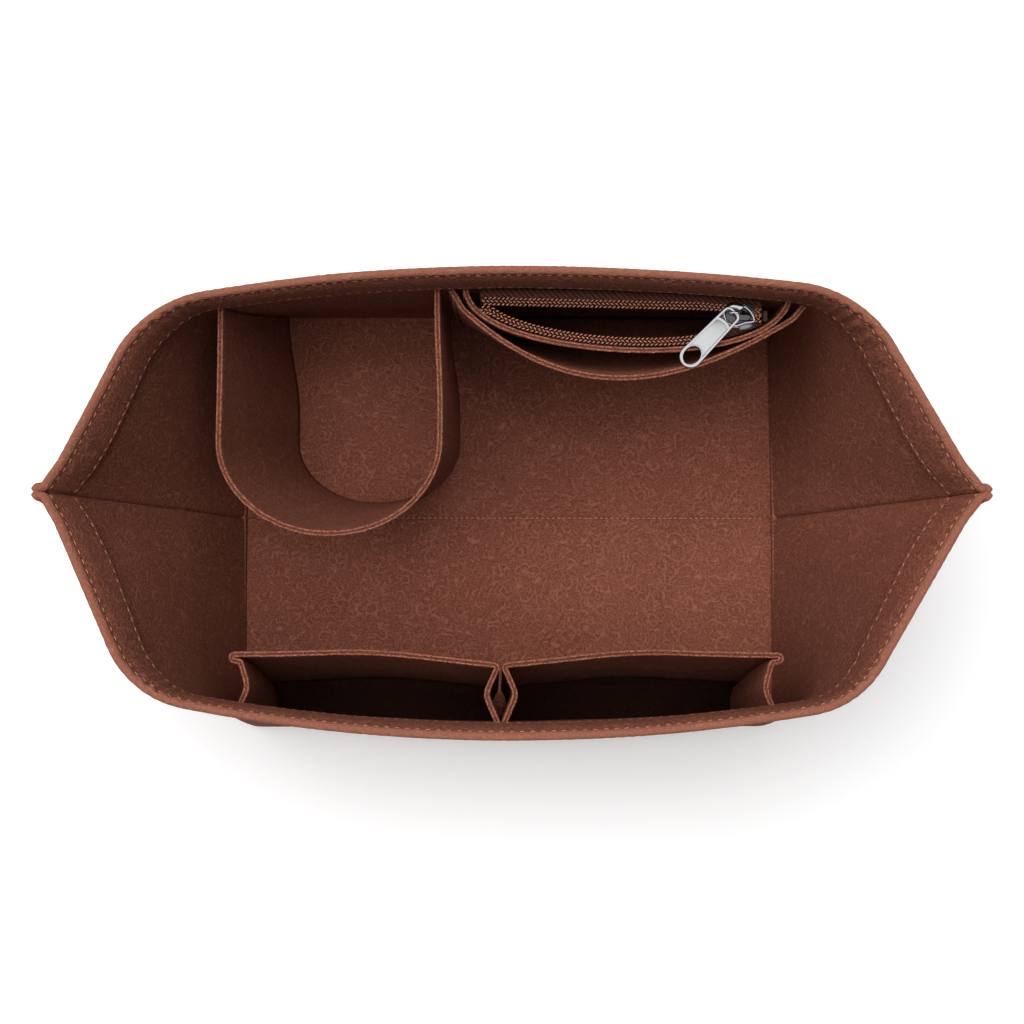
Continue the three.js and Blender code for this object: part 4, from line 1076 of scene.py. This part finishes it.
print("slider")
slider = {
    "top": 2.5,
    "bottom": -3.8,
    "rimWidth": 0.75,
    "rimHeight": 1.1,
    "crest": 2.0,
    "tapeSlot": 2.9,
    "rim": [(-6.0, 1.2), (-5.7, -1.4), (-4.5, -3.5), (-2.7, -4.5), (-1.0, -4.7), (0.8, -4.1), (2.6, -3.4),
            (5.0, -3.0), (6.1, -2.6), (6.0, -1.2), (5.3, 0.2), (4.4, 1.5), (3.2, 2.5), (1.6, 3.4),
            (-0.6, 4.0), (-3.2, 3.6), (-5.2, 2.6)],
    "base": [(-6.3, 4.6), (-4.0, 5.4), (-0.5, 4.9), (2.5, 4.5), (6.2, 4.4), (6.4, 0.0), (6.2, -4.4),
             (2.5, -4.5), (-0.5, -4.9), (-4.0, -5.4), (-6.3, -4.6), (-6.5, 0.0)],
    "crownOuter": [(-6.3, 1.5), (-5.7, 3.0), (-4.4, 4.1), (-2.8, 4.7), (-1.4, 4.8), (0.2, 4.5), (1.6, 3.8),
                   (2.5, 3.1)],
    "crownInner": [(-5.5, 0.8), (-4.7, 0.9), (-3.6, 1.3), (-2.2, 1.8), (-1.2, 1.5), (-0.1, 1.2), (1.1, 1.7),
                   (2.1, 2.6)],
    "crownSection": [(0, -0.5), (0, 0.3), (0.08, 0.62), (0.22, 0.86), (0.42, 1), (0.62, 0.97), (0.8, 0.8),
                     (0.94, 0.55), (1, 0.3), (1, -0.1)],
    "notch": [(2.2, 3.9), (3.1, 4.4), (5.6, 4.3), (6.1, 3.6), (6.2, -0.9), (5.5, 0.3), (4.5, 1.7),
              (3.2, 2.7)],
    "wing": [(-0.3, -4.7), (2.8, -3.7), (6.6, -2.9), (6.8, -5.1), (4.0, -5.6), (1.0, -6.7)],
    "wingDrop": [0.1, 0.1, 0.1, 0.75, 0.75, 0.75],
    "wedge": [(-6.0, -0.7), (-6.0, 0.7), (-2.6, 0.12), (-2.6, -0.12)],
    "fence": [(-3.6, 0.0), (6.0, 0.1), (6.0, 0.85), (-3.6, 0.85)],
    "fenceY": (4.05, -4.9),
}
top, bottom = slider["top"], slider["bottom"]


def turned(points, angle):
    x = points[:, 0] * math.cos(angle) - points[:, 1] * math.sin(angle)
    y = points[:, 0] * math.sin(angle) + points[:, 1] * math.cos(angle)
    return np.stack([x, y, points[:, 2]], 1)


# From the slider's own axes to the frame's
def sliderPoints(points):
    return turned(points, -math.radians(zipper["angle"])) + (zipper["sliderX"], zipper["chainY"], chainZ)


# A plate from levels (inset, z) of one outline
def slabSkin(outline, levels):
    fromMiddle = outline - outline.mean(0)
    reach = np.linalg.norm(fromMiddle, axis=1, keepdims=True)
    return loopSkin(np.array([
        np.column_stack([outline.mean(0) + fromMiddle * (1 - inset / reach), np.full(len(outline), z)])
        for inset, z in levels]))


# The crown: a broad domed band along the back, with an uneven front edge
def crownSkin():
    steps = 40
    along = np.linspace(0, 1, steps)
    edges = []
    for name in ("crownOuter", "crownInner"):
        knots = slider[name]
        line = columnsAt(along * (len(knots) - 1), np.arange(len(knots)), knots)
        line[1:-1] = (line[:-2] + 2 * line[1:-1] + line[2:]) / 4
        edges.append(line)
    crest = slider["crest"] * np.sqrt(np.clip(1 - (2 * along - 1) ** 6, 0, 1)).clip(0.3) * (1 - 0.25 * along)
    return loopSkin(np.stack([np.column_stack([mix(*edges, share), top + crest * rise])
                              for share, rise in slider["crownSection"]], 1))


rimLine = closedCurve(slider["rim"], 6)
plate = slabSkin(rimLine, [(0.25, top - 1.0), (0.0, top - 0.85), (0.0, top - 0.2), (0.12, top)])
notch = slabSkin(closedCurve(slider["notch"], 4), [
    (0.1, top - 0.9), (0, top - 0.75), (0, top + 0.25), (0.12, top + 0.35)])
wingLine = np.array(slider["wing"])
wing = loopSkin(np.array([np.column_stack([wingLine, top + lift - np.array(slider["wingDrop"])])
                          for lift in (0.35, -0.1)]))
rim = bandSkin(rimLine, slider["rimWidth"], slider["rimHeight"], top + 0.25, 0.3)
under = slabSkin(closedCurve(slider["base"], 6), [
    (0.25, bottom), (0.0, bottom + 0.2), (0.0, bottom + 0.85), (0.15, bottom + 1.0)])
wedge = slabSkin(closedCurve(slider["wedge"], 3), [(0, bottom + 0.6), (0, top - 0.6)])
fences = [slabSkin(closedCurve(np.array(slider["fence"]) + (0, y), 3), [
    (0, bottom + 0.4), (0, top - slider["tapeSlot"])]) for y in slider["fenceY"]]
skins = [plate, notch, wing, crownSkin(), rim, under, wedge, *fences]
points, faces = gather(skins)
# The plate in the crown's hollow takes the darkest tone, the notch and wing the grey one, as painted shade
slots = slotsOf(skins, (1, 2, 2, 0, 0, 0, 0, 0, 0))
addPiece("slider_plates_and_crown", sliderPoints(points), faces, [brightNickel, shadedDarkNickel, shadedGreyNickel],
         slots, body="slider", replaces=["slider_body"])

print("bail and pull")
bail = {
    "x": -3.9, "reach": 1.9, "rise": 2.0, "bar": 0.9, "capLeft": -1.6, "capRight": 5.2, "capMiddle": -0.8,
    "capWidth": 3.9, "capHeight": 1.3,
}
pull = {
    "length": 30.0, "tipWidth": 9.0, "eyeWidth": 7.6, "thickness": 1.2, "rim": 1.15, "eyeLength": 4.2,
    "bar": 1.2, "holeLength": 8.0, "holeWidth": 6.6, "shoulder": 2.4, "lip": 1.9, "heading": 47.0,
    "slope": 4.5, "x": -3.9, "y": -1.3, "z": 4.1, "rimRound": 0.34, "plateLow": -0.34, "plateHigh": 0.36,
    "plateEdge": 0.3, "holeRim": 0.62, "lipLow": -0.4, "lipHigh": 0.56,
}

# A low arched bar over the pull's eye, and the smooth cap that it runs into, in darker nickel as a painted
# dark reflection
arc = np.linspace(np.pi, 0.12 * np.pi, 22)
reach = bail["reach"]
archMiddle = bail["x"] + reach
bar = np.concatenate([
    np.column_stack([np.full(5, bail["x"]), np.zeros(5), np.linspace(top, pull["z"] - 0.2, 5)]),
    np.column_stack([archMiddle + reach * np.cos(arc), 0 * arc, pull["z"] + bail["rise"] * np.sin(arc)]),
    [(archMiddle + reach + 0.2, 0, top + 0.9)]])
turn = np.linspace(0, np.pi, 15)
capLoops = []
for share in np.linspace(0, 1, 26):
    swell = max(0.12, math.sqrt(max(0.0, 1 - abs(2 * share - 1) ** 3)))
    capLoops.append(np.column_stack([
        np.full(len(turn), mix(bail["capLeft"], bail["capRight"], share)),
        bail["capMiddle"] + bail["capWidth"] / 2 * swell * np.cos(turn),
        top + 0.02 + bail["capHeight"] * swell * np.sin(turn)]))
barLoops = tubeLoops(bar, np.full(len(bar), bail["bar"] / 2), 10, (0, 1, 0))
skins = [loopSkin(barLoops), loopSkin(np.array(capLoops))]
points, faces = gather(skins)
addPiece("slider_bail_and_cap", sliderPoints(points), faces, [brightNickel, shadedDarkNickel],
         slotsOf(skins, (0, 1)), body="slider", replaces=["slider_bail"])


# The pull, from its own axes, along +X from the middle of its eye
def pullPoints(points):
    slope = math.radians(pull["slope"])
    x = points[:, 0] * math.cos(slope) + points[:, 2] * math.sin(slope)
    z = -points[:, 0] * math.sin(slope) + points[:, 2] * math.cos(slope)
    tilted = np.stack([x, points[:, 1], z], 1)
    headed = turned(tilted, math.pi + math.radians(pull["heading"]))
    return sliderPoints(headed + (pull["x"], pull["y"], pull["z"]))


def pullOutline(eyeEnd, tip):
    tipHalf, eyeHalf, shoulder = pull["tipWidth"] / 2, pull["eyeWidth"] / 2, pull["shoulder"]
    angles = np.linspace(-np.pi / 2, np.pi / 2, 28)
    tipArc = np.column_stack([tip - tipHalf + tipHalf * np.cos(angles), tipHalf * np.sin(angles)])
    turn = np.linspace(0, np.pi / 2, 12)
    upper = np.column_stack([
        shoulder - eyeEnd - shoulder * np.sin(turn), eyeHalf - shoulder + shoulder * np.cos(turn)])
    lower = upper[::-1] * (1, -1)
    along = np.linspace(0, 1, 16)[1:-1, None]
    across = np.linspace(0, 1, 8)[1:-1, None]
    return np.concatenate([
        tipArc, mix(tipArc[-1], upper[0], along), upper, mix(upper[-1], lower[0], across), lower,
        mix(lower[-1], tipArc[0], along)])


def pullTab():
    eyeHalf = pull["eyeLength"] / 2
    eyeEnd = eyeHalf + pull["bar"]
    tip = pull["length"] - eyeEnd
    outline = pullOutline(eyeEnd, tip)
    ahead = unit(np.roll(outline, -1, 0) - np.roll(outline, 1, 0))
    inward = np.stack([-ahead[:, 1], ahead[:, 0]], 1)
    rim = pull["rim"]
    frameSkin = bandSkin(outline + inward * rim / 2, rim, pull["thickness"], 0.0, pull["rimRound"])
    # The plate between the hole and the eye, a little below the rim
    holeX = tip - pull["bar"] - pull["holeLength"] / 2
    holeReach, holeHalf = pull["holeLength"] / 2 + 0.3, pull["holeWidth"] / 2
    ys = np.linspace(-1, 1, 25) * (holeHalf - 0.1)
    near = eyeHalf + 3.1 - 1.5 * np.sqrt(1 - (ys / ys[-1]) ** 2)
    far = holeX - holeReach * np.sqrt(np.clip(1 - (ys / (holeHalf + 0.4)) ** 2, 0, 1))
    low, edge, high = pull["plateLow"], pull["plateEdge"], pull["plateHigh"]
    plateSkin = loopSkin(np.array([
        [(x0, y, low), (x1, y, low), (x1, y, edge), (x1 - 0.1, y, high), (x0 + 0.1, y, high), (x0, y, edge)]
        for y, x0, x1 in zip(ys, near, far)]))
    # The bright lip round the hole and the one that closes the eye
    around = np.linspace(0, 2 * np.pi, 56, endpoint=False)
    hole = np.column_stack([holeX + holeReach * np.cos(around), (holeHalf + 0.25) * np.sin(around)])
    holeSkin = bandSkin(hole, pull["holeRim"], 1.0, 0.03, 0.25)
    foot, crest = pull["lipLow"], pull["lipHigh"]
    lip = []
    for y, x1 in zip(ys, near - 0.05):
        x0 = eyeHalf + pull["lip"] * abs(y / ys[-1]) ** 2.5 * 0.4
        lip.append([(x0, y, foot), (x1, y, foot), (x1, y, high), (mix(x0, x1 + 0.05, 0.6), y, crest),
                    (x0 + 0.3, y, crest - 0.06), (x0, y, 0.2)])
    skins = [frameSkin, plateSkin, holeSkin, loopSkin(np.array(lip))]
    points, faces = gather(skins)
    addPiece("pull_tab_rimmed", pullPoints(points), faces, [brightNickel, satinNickel],
             slotsOf(skins, (0, 1, 0, 0)), body="pull", replaces=["pull_tab"])


pullTab()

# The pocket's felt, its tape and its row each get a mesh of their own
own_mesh(zipFelt)
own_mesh(frontTape)
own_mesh(frontRow)

print("stitches")
points, faces = gather(stitchSkins)
addPiece("hem_stitches", points, faces, [thread])

print("floor and sky")
reach = room["floorReach"]
corners = [(x * reach, y * reach, 0) for x, y in ((-1, -1), (1, -1), (1, 1), (-1, 1))]
backdrop = bpy.data.objects.new("floor", bpy.data.meshes.new("floor"))
backdrop.data.from_pydata(corners, [], [(0, 1, 2, 3)])
backdrop.location.z = -room["floorDrop"]
bpy.context.collection.objects.link(backdrop)
material, tree, shader = newMaterial("paleFloor")
shader.inputs["Base Color"].default_value = (room["floorTone"],) * 3 + (1.0,)
shader.inputs["Roughness"].default_value = 0.9
shader.inputs["Emission Color"].default_value = white
path = node(tree, "ShaderNodeLightPath")
glow = arithmetic(tree, "MULTIPLY", path.outputs["Is Camera Ray"], room["floorGlow"])
join(tree, glow, shader.inputs["Emission Strength"])
backdrop.data.materials.append(material)

world = bpy.data.worlds.new("sky")
bpy.context.scene.world = world
world.use_nodes = True
tree = world.node_tree
sky = tree.nodes["Background"]
sky.inputs["Color"].default_value = white
path = node(tree, "ShaderNodeLightPath")
seen = arithmetic(tree, "MAXIMUM", path.outputs["Is Camera Ray"], path.outputs["Is Glossy Ray"])
seen = arithmetic(tree, "MAXIMUM", seen, path.outputs["Is Transmission Ray"])
seen = arithmetic(tree, "MULTIPLY", seen, 1 - room["sky"])
join(tree, arithmetic(tree, "ADD", seen, room["sky"]), sky.inputs["Strength"])
